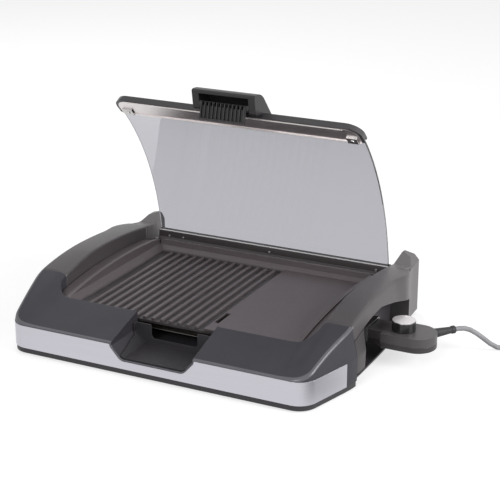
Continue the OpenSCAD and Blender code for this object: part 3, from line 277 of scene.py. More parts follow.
# ---------------------------------------------------------------- Deck
# One moulding: the sloping front, its shoulders and the wall round the opening,
# with rounded edges. The tray's recess is cut into its front.
DEPTH = 450.0
FRONT_HALF = 233.0
CORNER_R = 32.0
FLARE = np.radians(15)
FLARE_END = 95.0
FLARE_R = 162.0
WAIST_R = 5340.0
TAPER, TAPER_Y, TAPER_LEN = 17.0, 335.0, 80.0
LEAN, UPRIGHT_Y = 0.2, 300.0
BAND_TOP, DECK_LOW = 48.8, 49.1
DECK_Z, DECK_RISE = 51.0, 0.293
RAMP_IN, RAMP_WIDE = 208.0, 38.0
PEAK_Z, PEAK_Y, ARCH_FRONT, ARCH_REAR = 110.7, 235.0, 500.0, 1000.0
OPENING_HALF, OPENING_Y, OPENING_R = 231.0, 82.0, 35.0
SEAM_Y, SKIRT_Z, WALL = 122.0, 62.0, 3.0
SEAM_EASE = 1.0
DECK_EDGE_R, DECK_INNER_R = 4.0, 2.0
LEAST_RISE, LEAST_UNDER = 0.6, 0.2
FRONT_STEPS, CORNER_STEPS, SIDE_STEPS = 14, 40, 24
EDGE_RINGS, SLOPE_RINGS, INNER_RINGS, UNDER_RINGS = 7, 18, 5, 8
SIDES = (("right", 1), ("left", -1))
CORNER_END = np.array((FRONT_HALF + CORNER_R * np.cos(FLARE), CORNER_R - CORNER_R * np.sin(FLARE)))
FLARE_X = CORNER_END[0] + (FLARE_END - CORNER_END[1]) * np.tan(FLARE)
WIDEST = np.array((FLARE_X + FLARE_R * (1 - np.cos(FLARE)), FLARE_END + FLARE_R * np.sin(FLARE)))


def drop(distance, radius):
    """How far a circle falls below its top at a distance from it: radius less the root of radius squared
    less distance squared."""
    return radius - np.sqrt(np.maximum(0, radius**2 - distance**2))


def ease(t):
    """Smooth step from nought to one: t squared times three less twice t."""
    t = np.clip(t, 0, 1)
    return t * t * (3 - 2 * t)


def ridge_z(y):
    """Height of the side arch: two circles that meet at its top, a small one in front and a large behind."""
    return PEAK_Z - np.where(y < PEAK_Y, drop(PEAK_Y - y, ARCH_FRONT), drop(y - PEAK_Y, ARCH_REAR))


def plane_z(y):
    """Height of the deck's slope: its height at the front face and a fixed rise per millimetre of depth."""
    return DECK_Z + DECK_RISE * y


def top_z(x, y):
    """The deck's slope in the middle, eased up to the arch towards the sides."""
    short = np.maximum(0, ridge_z(y) - plane_z(y))
    return ridge_z(y) - short * (1 - ease((np.abs(x) - RAMP_IN) / RAMP_WIDE))


def side_x(y):
    """Half width of the housing: the round corner, the straight flare, a circle up to the widest place, and
    a very large circle behind it that draws in to the towers."""
    corner = FRONT_HALF + np.sqrt(np.maximum(0, CORNER_R**2 - (CORNER_R - y) ** 2))
    straight = CORNER_END[0] + (y - CORNER_END[1]) * np.tan(FLARE)
    shoulder = WIDEST[0] - drop(WIDEST[1] - y, FLARE_R)
    waist = WIDEST[0] - drop(y - WIDEST[1], WAIST_R) - TAPER * ease((y - TAPER_Y) / TAPER_LEN)
    return np.select((y < CORNER_END[1], y < FLARE_END, y < WIDEST[1]), (corner, straight, shoulder), waist)


def wall_x(y, z):
    """The outer wall: half width less the lean times the height over the band, with the lean eased away
    towards the towers."""
    return side_x(y) - LEAN * (1 - ease((y - UPRIGHT_Y) / TAPER_LEN)) * np.maximum(0, z - BAND_TOP)


def curve(start, corner, end, count):
    """Rounding between two points round a corner: the quadratic curve with the three as its control points.
    The points may be whole columns of points."""
    t = np.linspace(0, 1, count).reshape((count,) + (1,) * np.ndim(start))
    return (1 - t) ** 2 * start + 2 * t * (1 - t) * corner + t**2 * end


CREASE, CUT_CREASE = np.radians(42), np.radians(38)


def shell(name, grid, material, body="housing", edge=None):
    """A closed surface from a grid of points, millimetres with Y from the front face: rows along the piece,
    columns round it, and a flat cap at each end. Its faces are turned outwards by the sign of its volume. An
    edge is a second material with the rows and the columns that it takes."""
    rows, columns = grid.shape[:2]
    index = np.arange(rows * columns).reshape(rows, columns)
    across = np.roll(index, -1, axis=1)
    quads = np.stack((index[:-1], across[:-1], across[1:], index[1:]), axis=-1).reshape(-1, 4)
    points = (grid.reshape(-1, 3) - (0, DEPTH / 2, 0)) / 1000
    caps = [index[0, ::-1].tolist(), index[-1].tolist()]
    a, b, c, d = (points[quads[:, k]] for k in range(4))
    volume = np.einsum("ij,ij->", np.cross(b - a, c - a) + np.cross(c - a, d - a), a + b + c + d)
    faces = quads.tolist() + caps
    if volume < 0:
        faces = [face[::-1] for face in faces]
    mesh = bpy.data.meshes.new(name)
    mesh.from_pydata(points.tolist(), [], faces)
    mesh.polygons.foreach_set("use_smooth", np.ones(len(mesh.polygons), dtype=bool))
    mesh.set_sharp_from_angle(angle=CREASE)
    mesh.materials.append(material)
    if edge:
        mesh.materials.append(edge[0])
        second = np.zeros((rows - 1, columns), dtype=np.int32)
        second[edge[1], edge[2]] = 1
        on_caps = np.zeros(len(caps), dtype=np.int32)
        mesh.polygons.foreach_set("material_index", np.append(second.ravel(), on_caps))
    piece = bpy.data.objects.new(name, mesh)
    bpy.context.scene.collection.objects.link(piece)
    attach(piece, body)
    return piece


def eased(grid):
    """The first and the last ring drawn in towards their own middles, so that a seam shows as a groove."""
    done = grid.copy()
    for row in (0, -1):
        away = grid[row] - grid[row].mean(axis=0)
        away[:, 1] = 0
        done[row] -= SEAM_EASE * away / np.linalg.norm(away, axis=1, keepdims=True)
    return done


def deck_line():
    """Points of the outer edge with their outward normals, and of the opening's edge, from the middle of
    the front round one corner to the seam with the handle."""
    inner = np.array((OPENING_HALF - OPENING_R, OPENING_Y + OPENING_R))
    straight = FRONT_HALF - inner[0]
    whole = straight + CORNER_R * (np.pi / 2 - FLARE)
    x = np.linspace(0, inner[0], FRONT_STEPS + 1)[:-1]
    zero = np.zeros_like(x)
    front = np.stack((x, zero, zero, zero - 1, x, zero + OPENING_Y), axis=1)
    part = np.linspace(0, 1, CORNER_STEPS + 1)[:-1]
    walked = part * whole
    turn = np.maximum(0, walked - straight) / CORNER_R
    round_x = np.where(walked < straight, inner[0] + walked, FRONT_HALF + CORNER_R * np.sin(turn))
    around = part * np.pi / 2
    corner = np.stack((
        round_x, CORNER_R - CORNER_R * np.cos(turn), np.sin(turn), -np.cos(turn),
        inner[0] + OPENING_R * np.sin(around), inner[1] - OPENING_R * np.cos(around),
    ), axis=1)
    reach = SEAM_Y - CORNER_END[1]
    part = np.append(np.linspace(0, 1, SIDE_STEPS + 1)[:-1], (1 - SEAM_EASE / reach, 1))
    y = CORNER_END[1] + reach * part
    side = np.stack((
        side_x(y), y, np.cos(FLARE * (1 - part)), -np.sin(FLARE * (1 - part)),
        np.full_like(part, OPENING_HALF), inner[1] + (SEAM_Y - inner[1]) * part,
    ), axis=1)
    return np.concatenate((front, corner, side))


def deck_grid():
    """One ring across the moulding at each place of its line: up the leaning wall, round the edge, over
    the slope to the opening, round that edge, down the skirt and back under the skin."""
    line = deck_line()
    outer, normal, inner = line[:, :2], line[:, 2:4], line[:, 4:6]
    edge = top_z(outer[:, 0], outer[:, 1])[:, None]
    side = outer - normal * LEAN * (edge - DECK_LOW)
    lip = side - normal * DECK_EDGE_R
    across = (lip - inner) / np.linalg.norm(lip - inner, axis=1, keepdims=True)
    start = inner + across * DECK_INNER_R
    skin = inner + across * WALL
    under = outer - normal * (WALL + LEAN * (edge - DECK_LOW))

    def lifted(plan, z):
        return np.concatenate((plan, np.broadcast_to(np.reshape(z, (-1, 1)), (len(plan), 1))), axis=1)

    def on_top(plan, less=0.0):
        return lifted(plan, top_z(plan[:, 0], plan[:, 1]) - less)

    rise = np.maximum(DECK_LOW + LEAST_RISE, edge - DECK_EDGE_R)
    low = outer - normal * LEAN * (rise - DECK_LOW)
    rings = [lifted(outer, DECK_LOW)]
    rings += list(curve(lifted(low, rise), on_top(side), on_top(lip), EDGE_RINGS))
    rings += [on_top(lip + (start - lip) * f) for f in np.linspace(0, 1, SLOPE_RINGS)[1:-1]]
    rings += list(curve(on_top(start), on_top(inner), on_top(inner, DECK_INNER_R), INNER_RINGS))
    rings += [lifted(inner, SKIRT_Z), lifted(skin, SKIRT_Z)]
    for f in np.linspace(1, 0, UNDER_RINGS):
        plan = under + (skin - under) * f
        below = top_z(plan[:, 0], plan[:, 1]) - WALL
        rings.append(lifted(plan, np.maximum(DECK_LOW + LEAST_UNDER, below)))
    rings.append(lifted(outer - normal * WALL, DECK_LOW))
    half = np.stack(rings, axis=1)
    return eased(np.concatenate((half[:0:-1] * (-1, 1, 1), half)))


RECESS_HALF, RECESS_FLOOR_HALF, RECESS_Z, RECESS_TURN_Z = 74.0, 55.0, 24.0, 45.0
RECESS_R, TURN_R, CHANNEL = 14.0, 8.0, 2.5
LOWER_POINTS, UPPER_POINTS = 12, 7
RECESS_TIP, TIP_ROWS = 0.12, 7
RECESS_STRAIGHT_Y, RECESS_ROWS, RECESS_GAP = 6.0, 12, 0.15
KNIFE_INSET, KNIFE_TOP, KNIFE_FRONT, KNIFE_REAR = 2.0, 200.0, 5.0, 4.0


def recess_profile(inset, top):
    """Half of the recess in front view, moved in by the inset: the floor, a round corner, the sloping side,
    a smaller round corner and the upright side."""
    slope = np.arctan2(RECESS_TURN_Z - RECESS_Z, RECESS_HALF - RECESS_FLOOR_HALF)
    lower = np.linspace(0, slope, LOWER_POINTS)
    upper = np.linspace(slope, np.pi / 2, UPPER_POINTS)
    x = np.concatenate((
        (0.0,), RECESS_FLOOR_HALF - RECESS_R * np.tan(slope / 2) + (RECESS_R - inset) * np.sin(lower),
        RECESS_HALF - TURN_R + (TURN_R - inset) * np.sin(upper), (RECESS_HALF - inset,),
    ))
    z = np.concatenate((
        (RECESS_Z + inset,), RECESS_Z + RECESS_R - (RECESS_R - inset) * np.cos(lower),
        RECESS_TURN_Z + TURN_R * np.tan((np.pi / 2 - slope) / 2) - (TURN_R - inset) * np.cos(upper),
        (top,),
    ))
    return np.stack((x, z), axis=1)


def recess_ring(inset, top):
    """The whole profile, left to right."""
    right = recess_profile(inset, top)
    return np.concatenate((right[:0:-1] * (-1, 1), right))


def recess_grid():
    """The channel of the recess: rows from front to back, each the outer profile and the inner one back
    again. The front edge is round, and the upper ends follow the deck's slope."""
    full = CHANNEL / 2
    turn = np.linspace(RECESS_TIP, np.pi / 2, TIP_ROWS)
    y = np.concatenate((full - full * np.cos(turn), np.linspace(RECESS_STRAIGHT_Y, OPENING_Y, RECESS_ROWS)))
    half = np.concatenate((full * np.sin(turn), np.full(RECESS_ROWS, full)))
    rows = []
    for where, thick in zip(y, half):
        top = plane_z(where) - RECESS_GAP - (full - thick)
        ring = np.concatenate((recess_ring(full - thick, top), recess_ring(full + thick, top)[::-1]))
        rows.append(np.column_stack((ring[:, 0], np.full(len(ring), where), ring[:, 1])))
    return np.stack(rows)


def cut_by(piece, cutter):
    """The cutter's room taken out of the piece, and the cutter thrown away."""
    knife = piece.modifiers.new("cut", "BOOLEAN")
    knife.operation = "DIFFERENCE"
    knife.solver = "EXACT"
    knife.object = cutter
    depsgraph = bpy.context.evaluated_depsgraph_get()
    done = bpy.data.meshes.new_from_object(piece.evaluated_get(depsgraph))
    piece.modifiers.clear()
    piece.data = done
    bpy.data.objects.remove(cutter)
    done.polygons.foreach_set("use_smooth", np.ones(len(done.polygons), dtype=bool))
    done.set_sharp_from_angle(angle=CUT_CREASE)


deck_grey = moulded("deck_grey", colour(57, 56, 61), 0.48, 0.2)
# Painted highlight: the rounded edges of the deck and of the recess's front take this lighter, glossier copy
# of the deck's grey.
deck_edge_highlight = moulded("deck_edge_highlight", colour(84, 83, 88), 0.3, 0.5)
ALL = slice(None)
painted_highlight_edge = (deck_edge_highlight, ALL, slice(1, EDGE_RINGS))
deck_top = shell("deck_top", deck_grid(), deck_grey, edge=painted_highlight_edge)
cutting = recess_ring(KNIFE_INSET, KNIFE_TOP)
knife_rows = np.array([
    np.column_stack((cutting[:, 0], np.full(len(cutting), y), cutting[:, 1]))
    for y in (-KNIFE_FRONT, OPENING_Y + KNIFE_REAR)
])
recess_knife = shell("recess_knife", knife_rows, deck_grey)
cut_by(deck_top, recess_knife)
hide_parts("deck_frame")
# Painted shade: the recess channel takes a darker copy of the deck's grey.
recess_shaded_grey = moulded("recess_shaded_grey", colour(47, 45, 50), 0.45)
painted_highlight_front = (deck_edge_highlight, slice(0, TIP_ROWS - 1), ALL)
shell("recess_channel", recess_grid(), recess_shaded_grey, edge=painted_highlight_front)
LEG_FRONT_GAP, LEG_REAR_GAP, LEG_ROWS = 0.3, 0.2, 6
LEG_LOW, LEG_TOP, LEG_EASE = 11.0, 49.6, 0.8
leg_y = np.linspace(FLARE_END + LEG_FRONT_GAP, SEAM_Y - LEG_REAR_GAP, LEG_ROWS)
leg_section = ((LEG_EASE, LEG_LOW), (0, LEG_LOW + LEG_EASE), (0, LEG_TOP), (WALL, LEG_TOP), (WALL, LEG_LOW))
leg = np.stack([
    np.column_stack((side_x(leg_y) - deep, leg_y, np.full_like(leg_y, z))) for deep, z in leg_section
], axis=1)
for side, turned in SIDES:
    shell(f"deck_leg_{side}", leg * (turned, 1, 1), deck_grey)

# ---------------------------------------------------------------- Handles, cheeks and towers
# The handles are arched beams, open below, with a rounded outer edge. The cheeks
# close the sides in front of the finger gaps and turn inwards there.
HANDLE_Y = np.array((122.3, 384.7))
GRIP_DEPTH, DEEPEN_Y, DEEPEN = 23.0, 240.0, 0.184
GRIP_EDGE_R, GRIP_INNER_R, GRIP_CROWN, GRIP_FOOT = 5.0, 3.5, 0.8, 1.0
HOLLOW_DOWN, HOLLOW_INNER, HOLLOW_OUTER = 5.0, 2.0, 3.0
GRIP_ROWS, GRIP_EDGE_RINGS, GRIP_TOP_RINGS, GRIP_INNER_RINGS = 44, 8, 12, 6


def skirt_low(y):
    """Lower edge of the handle's outer wall: a fixed depth below the arch, and deeper towards the rear."""
    return ridge_z(y) - GRIP_DEPTH - DEEPEN * np.maximum(0, y - DEEPEN_Y)


def handle_grid():
    """A ring at each step of the depth: up the outer wall, round its edge, over the crowned top to the
    inner edge, down to the skirt, and back along the hollow underside."""
    first, last = HANDLE_Y
    y = np.concatenate(((first,), np.linspace(first + SEAM_EASE, last - SEAM_EASE, GRIP_ROWS), (last,)))
    z, low, inner = ridge_z(y), skirt_low(y), np.full_like(y, OPENING_HALF)
    inner_z = top_z(inner, y)

    def at(x, height):
        return np.column_stack((x, y, height))

    outer, foot = wall_x(y, z), wall_x(y, low)
    side_low, side_middle, side_high = low + GRIP_FOOT, (low + z) / 2, z - GRIP_EDGE_R
    edge_x, turn_x = outer - GRIP_EDGE_R, inner + GRIP_INNER_R
    skirt = np.full_like(y, SKIRT_Z)
    rings = [at(wall_x(y, side_low), side_low), at(wall_x(y, side_middle), side_middle)]
    rings += list(curve(at(wall_x(y, side_high), side_high), at(outer, z), at(edge_x, z), GRIP_EDGE_RINGS))
    for f in np.linspace(0, 1, GRIP_TOP_RINGS)[1:-1]:
        x = edge_x + (turn_x - edge_x) * f
        rings.append(at(x, z + (inner_z - z) * f + GRIP_CROWN * 4 * f * (1 - f)))
    down = at(inner, inner_z - GRIP_INNER_R)
    rings += list(curve(at(turn_x, inner_z), at(inner, inner_z), down, GRIP_INNER_RINGS))
    rings += [at(inner, skirt), at(inner + WALL, skirt)]
    rings += [at(inner + WALL, inner_z - HOLLOW_DOWN), at(inner + WALL + HOLLOW_INNER, inner_z - WALL)]
    rings += [at((outer + inner) / 2, (z + inner_z) / 2 + GRIP_CROWN - WALL)]
    rings += [at(outer - WALL - HOLLOW_OUTER, z - WALL)]
    rings += [at(wall_x(y, z - HOLLOW_DOWN) - WALL, z - HOLLOW_DOWN), at(foot - WALL, side_low)]
    rings += [at(foot - WALL + GRIP_FOOT, low), at(foot - GRIP_FOOT, low)]
    return eased(np.stack(rings, axis=1))


CHEEK_LOW, CHEEK_GAP = 22.0, 0.3
CHEEK_FLAT_END, CHEEK_FLAT_MORE = 147.0, 11.0
CHEEK_END, CHEEK_IN, CHEEK_BEND = 165.0, 15.0, 3.0
CHEEK_THICK = np.array((1.5, 2.2, 0.0))
CHEEK_ROWS, CHEEK_FLAT_STEPS, CHEEK_TURN_STEPS = 16, 9, 12


def cheek_grid():
    """A ring at each height, in plan: the outer wall from the seam to the finger gap, a long rounding that
    turns inwards there and starts further forward near the bottom, and the inner side back again."""

    def height(y, part):
        return CHEEK_LOW + (skirt_low(y) - CHEEK_GAP - CHEEK_LOW) * part

    rows = []
    for f in np.linspace(0, 1, CHEEK_ROWS):
        y = np.linspace(HANDLE_Y[0], CHEEK_FLAT_END + CHEEK_FLAT_MORE * f, CHEEK_FLAT_STEPS)
        z = height(y, f)
        x = wall_x(y, z)
        end_z = height(CHEEK_END, f)
        bend_y = CHEEK_END - CHEEK_BEND
        start = np.array((x[-1], y[-1], z[-1]))
        corner = np.array((wall_x(bend_y, end_z), bend_y, end_z))
        inward = np.array((wall_x(CHEEK_END, end_z) - CHEEK_IN, CHEEK_END, end_z))
        turn = curve(start, corner, inward, CHEEK_TURN_STEPS)[1:]
        back = turn[::-1] - CHEEK_THICK
        inside = np.column_stack((x - WALL, y, z))[::-1]
        inside[0] = (back[-1] + inside[0]) / 2
        rows.append(np.concatenate((np.column_stack((x, y, z)), turn, back, inside[1:])))
    return np.stack(rows)


handle_grey = moulded("handle_grey", colour(68, 64, 66), 0.38, 0.5)
tower_grey = moulded("tower_grey", colour(96, 93, 94), 0.42, 0.5)
cheek_grey = moulded("cheek_grey", colour(58, 55, 56), 0.45, 0.4)
for side, turned in SIDES:
    beam = shell(f"handle_beam_{side}", handle_grid() * (turned, 1, 1), handle_grey)
    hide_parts(f"handle_{side}")
    cheek = shell(f"cheek_wall_{side}", cheek_grid() * (turned, 1, 1), cheek_grey)
    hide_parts(f"cheek_{side}")
dress(tower_grey, "tower_left", "tower_right", width=0.0016, sides=3)

# ---------------------------------------------------------------- Band
# A thin strip of stainless steel, brushed along its length, bent round both
# front corners and let in flush under the deck. It is plain.
brushed = Finish("band_steel", colour(202, 200, 208), 0.34, metal=1.0)
brushed.surface.inputs["Anisotropic"].default_value = 0.7
along = brushed.add("ShaderNodeTangent", direction_type="RADIAL", axis="Z")
brushed.link(along.outputs["Tangent"], brushed.surface.inputs["Tangent"])
strokes = brushed.noise(1, 3, brushed.stretched((5, 5, 2400)))
brushed.tint(strokes, 0.05)
brushed.roughen(strokes, 0.28, 0.4)
brushed.bump(strokes, 0.000003)
dress(brushed.material, "front_band", width=0.0002)

# ---------------------------------------------------------------- Plate, element and pan
# Cast aluminium with a dark non-stick coating, ribbed on its left half. A steel
# tube heats it from below, clipped to it over a bright sheet pan.
GROOVE_Z, RIB_Z = 0.0612, 0.0648
# Painted shade: the coating's colour is darker in the grooves and lighter on the rib tops, by height.
GROOVE_PAINTED_SHADE, RIB_PAINTED_LIGHT, CLOUD_SHADE = 0.2, 0.6, 0.2
coating = Finish("plate_coating", colour(66, 60, 62), 0.42, gloss=0.5)
height = coating.add("ShaderNodeSeparateXYZ")
coating.link(coating.place, height.inputs["Vector"])
# Painted shade by height: darker towards the groove floor and lighter on the rib tops, mixed with random
# clouds of tone.
groove_painted_shade = coating.add("ShaderNodeMapRange")
groove_painted_shade.inputs["From Min"].default_value = GROOVE_Z
groove_painted_shade.inputs["From Max"].default_value = RIB_Z
groove_painted_shade.inputs["To Min"].default_value = GROOVE_PAINTED_SHADE
groove_painted_shade.inputs["To Max"].default_value = RIB_PAINTED_LIGHT
coating.link(height.outputs["Z"], groove_painted_shade.inputs["Value"])
clouds_and_painted_shade = coating.add("ShaderNodeMath", operation="MULTIPLY_ADD")
clouds_and_painted_shade.inputs[1].default_value = CLOUD_SHADE
coating.link(coating.noise(60, 3), clouds_and_painted_shade.inputs[0])
coating.link(groove_painted_shade.outputs["Result"], clouds_and_painted_shade.inputs[2])
coating.tint(clouds_and_painted_shade.outputs[0], 0.5)
coating.roughen(coating.noise(420, 2), 0.34, 0.5)
coating.bump(coating.noise(1500, 3), 0.00003)
dress(coating.material, "grill_plate", width=0.0008)
PLATE_TOP_Z, PLATE_TOP_Y, PLATE_TOP_R = 88.0, 265.0, 1000.0
FLANGE_FRONT, FLANGE_REAR, FLANGE_NEAR, FLANGE_ROWS = 88.0, 372.0, 209.5, 60
FLANGE_DOWN, FLANGE_THICK, FLANGE_GAP, FLANGE_EASE = 3.0, 2.0, 1.5, 0.4


def plate_top(y):
    """Height of the plate's side walls: a wide circle over the depth."""
    return PLATE_TOP_Z - drop(np.abs(y - PLATE_TOP_Y), PLATE_TOP_R)


def flange_grid():
    """A ledge along the side wall of the plate: from the wall out to just inside the opening, whose front
    corner it follows, a little below the wall's top."""
    y = np.linspace(FLANGE_FRONT, FLANGE_REAR, FLANGE_ROWS)
    out = OPENING_HALF - drop(np.maximum(0, OPENING_Y + OPENING_R - y), OPENING_R) - FLANGE_GAP
    near = np.full_like(y, FLANGE_NEAR)
    z = plate_top(y) - FLANGE_DOWN
    low = z - FLANGE_THICK
    points = ((near, z), (out - FLANGE_EASE, z), (out, z - FLANGE_EASE), (out, low), (near, low))
    return np.stack([np.column_stack((x, y, height)) for x, height in points], axis=1)


for side, turned in SIDES:
    shell(f"plate_flange_{side}", flange_grid() * (turned, 1, 1), coating.material)
tinted = metal("element_steel", colour(120, 112, 105), 0.4, (400, 400, 400))
dress(tinted, "heating_element")
sheet_metal = metal("reflector_sheet", colour(150, 146, 142), 0.4, (900, 8, 900))
dress(sheet_metal, "reflector_pan", width=0.0002)
dress(zinc, "element_clips", "contact_pins", "socket_guard", width=0.0002)
brass = metal("contact_brass", colour(214, 184, 110), 0.28, (500, 500, 500))
dress(brass, "earth_spring", "contact_sleeves", width=0.0001)

# ---------------------------------------------------------------- Drip tray
# A black plastic channel that slides out of the front: an open apron, a wall
# with a window between two posts, and the container under the plate.
tray_black = moulded("tray_plastic", colour(42, 40, 43), 0.45)
dress(tray_black, "drip_tray", width=0.0007, sides=3)

# ---------------------------------------------------------------- Lid
# A bent pane of smoke-tinted glass, glued into a black rail at each end. The
# front one has a bright lining with a lip along each edge, and carries the grip.
smoke = Finish("smoke_glass", colour(190, 190, 196), 0.0, gloss=0.2)
smoke.surface.inputs["Transmission Weight"].default_value = 1.0
smoke.surface.inputs["IOR"].default_value = 1.5
smoke.bump(smoke.noise(14, 1), 0.00002)
rail_black = moulded("rail_black", colour(56, 54, 56), 0.32, 0.5)
dress(rail_black, "front_rail", width=0.0008, sides=3)
rear_black = moulded("rear_rail_black", colour(50, 45, 46), 0.4, 0.5)
dress(rear_black, "rear_rail", width=0.0006)
bright = metal("bright_trim", colour(225, 223, 220), 0.12, (60, 600, 600), 0.000001)
dress(bright, "rear_trim", width=0.0002)
lining = metal("dark_lining", colour(226, 220, 220), 0.3, (40, 600, 600), 0.000001)
dress(lining, "front_trim", width=0.0002)
PIVOT = np.array((415.5, 68.0))
OPEN = np.radians(61.5)
TILT = np.radians(2.6)
CHORD, RISE = 276.5, 22.3
HINGE_EDGE = np.array((-15.2, 10.4))
GLASS_R = (CHORD**2 / 4 + RISE**2) / (2 * RISE)
HALF_ANGLE = np.arcsin(CHORD / 2 / GLASS_R)
CROWN = np.array((np.sin(TILT), np.cos(TILT)))
ALONG = np.array((-np.cos(TILT), np.sin(TILT)))
BOW = PIVOT + HINGE_EDGE + ALONG * CHORD / 2 - CROWN * (GLASS_R - RISE)


def on_lid(x, out, beyond):
    """Points of the open lid: so far out from the middle of the glass, and so far along it beyond the edge
    of the front rail. They are placed on the closed lid's circle and turned about the hinge."""
    angle = HALF_ANGLE + np.asarray(beyond) / GLASS_R
    reach = (GLASS_R + np.asarray(out))[..., None]
    flat = BOW + (np.cos(angle)[..., None] * CROWN + np.sin(angle)[..., None] * ALONG) * reach - PIVOT
    y = flat[..., 0] * np.cos(OPEN) + flat[..., 1] * np.sin(OPEN)
    z = -flat[..., 0] * np.sin(OPEN) + flat[..., 1] * np.cos(OPEN)
    return np.stack((np.broadcast_to(x, y.shape), y + PIVOT[0], z + PIVOT[1]), axis=-1)


PANE_HALF, PANE_THICK, PANE_STEPS, ARRIS = 220.0, 4.0, 72, 0.6
SEAT_REAR, SEAT_FRONT = 3.0, 5.4


def pane_grid():
    """The glass: rows from side to side, thinner at both ends by the ground arris. Each goes along the
    circle on the outer face, from the seat in the rear rail to the one in the front rail, and back on the
    inner face."""
    full = PANE_THICK / 2
    x = np.array((-PANE_HALF, ARRIS - PANE_HALF, PANE_HALF - ARRIS, PANE_HALF))[:, None]
    half = np.array((full - ARRIS, full, full, full - ARRIS))[:, None]
    along = np.linspace(-2 * HALF_ANGLE * GLASS_R - SEAT_REAR, SEAT_FRONT, PANE_STEPS)
    return np.concatenate((on_lid(x, half, along), on_lid(x, -half, along[::-1])), axis=1)


pane = shell("glass_pane", pane_grid(), smoke.material, "lid")
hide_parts("lid_glass")


LIP_ROWS, LIP_RINGS, LIP_HEIGHT = 60, 12, 0.7
LIP_POWER, LIP_LEAST = 40, 0.04


def lip_grid(half, start, wide, out):
    """A thin strip across the lid, an ellipse in section: its size is the root of one less a high power of
    the distance from the middle, so that it is even up to both ends and drawn in there."""
    x = np.linspace(-half, half, LIP_ROWS)
    swell = np.sqrt(np.maximum(LIP_LEAST, 1 - (np.abs(x) / half) ** LIP_POWER))
    turn = np.linspace(0, 2 * np.pi, LIP_RINGS, endpoint=False)
    across = wide / 2 * np.cos(turn) * swell[:, None]
    deep = LIP_HEIGHT * np.sin(turn) * swell[:, None]
    return on_lid(x[:, None], out + deep, start + wide / 2 + across)


low_lip = lip_grid(half=216, start=0.4, wide=1.5, out=-6.3)
high_lip = lip_grid(half=194, start=35.6, wide=1.1, out=-5.2)
shell("lining_lip_low", low_lip, bright, "lid")
shell("lining_lip_high", high_lip, bright, "lid")
grip_black = moulded("grip_black", colour(40, 38, 40), 0.42, 0.35)
dress(grip_black, "lid_grip", "finger_guard", width=0.0007, sides=3)
dress(zinc, "glass_clips", "rail_screws", "hinge_pins", width=0.0002)

# ---------------------------------------------------------------- Thermostat and knob
# A flat two-part plastic case that plugs into the side, with a steel probe and
# two brass sleeves. Its black knob has a spun aluminium face.
# Painted light and shade: the upper half takes a lighter copy of the case's plastic and the lower half a
# darker one.
case_lit_black = moulded("thermostat_black", colour(74, 71, 72), 0.4, 0.5)
dress(case_lit_black, "thermostat_upper", width=0.0026, sides=4, angle=50)
case_shaded_low = moulded("thermostat_lower_black", colour(56, 53, 54), 0.42, 0.4)
dress(case_shaded_low, "thermostat_lower", width=0.0018, sides=3, angle=50)
resin = moulded("switch_body", colour(150, 138, 116), 0.5)
dress(resin, "bimetal_switch", width=0.0004)
dress(zinc, "probe", "thermostat_screws", "knob_shaft", width=0.0003)
knob_black = moulded("knob_black", colour(30, 29, 30), 0.22, 0.6)
dress(knob_black, "knob", width=0.0005)
KNOB_CENTRE = (0.312, 0.027, 0.0)
spun = Finish("knob_face", colour(228, 224, 226), 0.26, metal=1.0)
rings = spun.add("ShaderNodeTexWave", wave_type="RINGS", rings_direction="Z")
rings.inputs["Scale"].default_value = 900
rings.inputs["Distortion"].default_value = 1.5
spun.link(spun.stretched((1, 1, 1), KNOB_CENTRE), rings.inputs["Vector"])
spun.tint(rings.outputs["Fac"], 0.08)
spun.roughen(rings.outputs["Fac"], 0.2, 0.34)
dress(spun.material, "knob_cap", width=0.0003)

# ---------------------------------------------------------------- Room
# A plain pale floor that runs out of the view, and soft lamps. The floor and the
# air are white to the camera, to shiny surfaces and through glass, but for a dark
# patch of floor by the front right corner, which only shiny surfaces show.
WHITE = (1, 1, 1, 1)
AIR_LIGHT = 0.5
FLOOR_HALF, FLOOR_GREY, FLOOR_GLOW = 12.0, 0.45, 0.62
PATCH_CENTRE, PATCH_LIGHT = (0.39, -0.2, 0.0), 0.35
PATCH_R, PATCH_FADE_R = 0.03, 0.13


def larger(tree, first, second):
    """The larger of two values in a node tree."""
    node = tree.nodes.new("ShaderNodeMath")
    node.operation = "MAXIMUM"
    tree.links.new(first, node.inputs[0])
    tree.links.new(second, node.inputs[1])
    return node.outputs[0]


def shone(tree, rays):
    """One where a ray comes from a shiny surface or through glass, and nought elsewhere."""
    return larger(tree, rays["Is Glossy Ray"], rays["Is Transmission Ray"])


air = bpy.data.worlds.new("studio_air")
air.use_nodes = True
bpy.context.scene.world = air
tree = air.node_tree
background = tree.nodes["Background"]
background.inputs["Color"].default_value = WHITE
rays = tree.nodes.new("ShaderNodeLightPath").outputs
level = tree.nodes.new("ShaderNodeMapRange")
level.inputs["To Min"].default_value = AIR_LIGHT
level.inputs["To Max"].default_value = 1.0
tree.links.new(larger(tree, rays["Is Camera Ray"], shone(tree, rays)), level.inputs["Value"])
tree.links.new(level.outputs["Result"], background.inputs["Strength"])

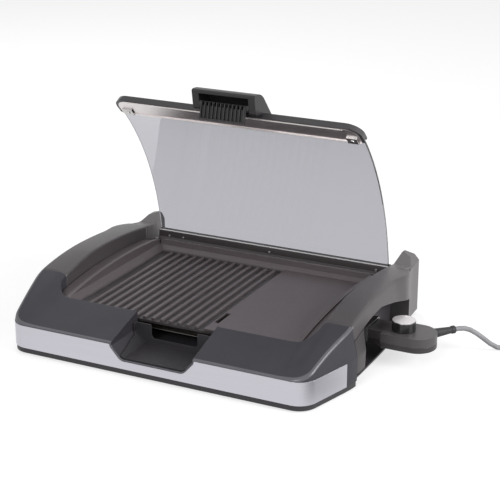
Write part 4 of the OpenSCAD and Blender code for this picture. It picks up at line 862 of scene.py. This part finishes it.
corners = [(x * FLOOR_HALF, y * FLOOR_HALF, 0.0) for x, y in ((-1, -1), (1, -1), (1, 1), (-1, 1))]
floor_mesh = bpy.data.meshes.new("floor")
floor_mesh.from_pydata(corners, [], [(0, 1, 2, 3)])
floor = bpy.data.objects.new("floor", floor_mesh)
bpy.context.scene.collection.objects.link(floor)
paper = bpy.data.materials.new("floor_paper")
paper.use_nodes = True
tree = paper.node_tree
rays = tree.nodes.new("ShaderNodeLightPath").outputs
matt = tree.nodes["Principled BSDF"]
matt.inputs["Base Color"].default_value = (FLOOR_GREY, FLOOR_GREY, FLOOR_GREY, 1)
matt.inputs["Roughness"].default_value = 1.0
matt.inputs["Specular IOR Level"].default_value = 0.0
matt.inputs["Emission Color"].default_value = WHITE
glow = tree.nodes.new("ShaderNodeMath")
glow.operation = "MULTIPLY"
glow.inputs[1].default_value = FLOOR_GLOW
tree.links.new(rays["Is Camera Ray"], glow.inputs[0])
tree.links.new(glow.outputs[0], matt.inputs["Emission Strength"])
spot = tree.nodes.new("ShaderNodeTexCoord")
away = tree.nodes.new("ShaderNodeVectorMath")
away.operation = "DISTANCE"
away.inputs[1].default_value = PATCH_CENTRE
tree.links.new(spot.outputs["Object"], away.inputs[0])
patch = tree.nodes.new("ShaderNodeMapRange")
patch.inputs["From Min"].default_value = PATCH_R
patch.inputs["From Max"].default_value = PATCH_FADE_R
patch.inputs["To Min"].default_value = PATCH_LIGHT
tree.links.new(away.outputs["Value"], patch.inputs["Value"])
even = tree.nodes.new("ShaderNodeEmission")
clear = larger(tree, patch.outputs["Result"], rays["Is Transmission Ray"])
tree.links.new(clear, even.inputs["Strength"])
through = tree.nodes.new("ShaderNodeMixShader")
tree.links.new(shone(tree, rays), through.inputs["Fac"])
tree.links.new(matt.outputs["BSDF"], through.inputs[1])
tree.links.new(even.outputs["Emission"], through.inputs[2])
tree.links.new(through.outputs["Shader"], tree.nodes["Material Output"].inputs["Surface"])
floor.data.materials.append(paper)

for name, place, aim, size, watts, shine in (
    ("lamp_front", (0.1, -2.6, 1.5), (0, 0, 0.05), 1.5, 36, True),
    ("lamp_back_left", (-1.6, 1.4, 1.9), (0.1, 0, 0.05), 1.4, 16, False),
    ("lamp_right", (2.5, 0.1, 1.1), (0, 0, 0.08), 1.3, 52, True),
):
    lamp = bpy.data.lights.new(name, "AREA")
    lamp.shape = "DISK"
    lamp.size = size
    lamp.energy = watts
    holder = bpy.data.objects.new(name, lamp)
    bpy.context.scene.collection.objects.link(holder)
    holder.location = place
    holder.rotation_mode = "QUATERNION"
    holder.rotation_quaternion = (Vector(aim) - Vector(place)).to_track_quat("-Z", "Y")
    holder.visible_glossy = shine
    holder.visible_transmission = False

bpy.context.scene.view_settings.view_transform = "Standard"
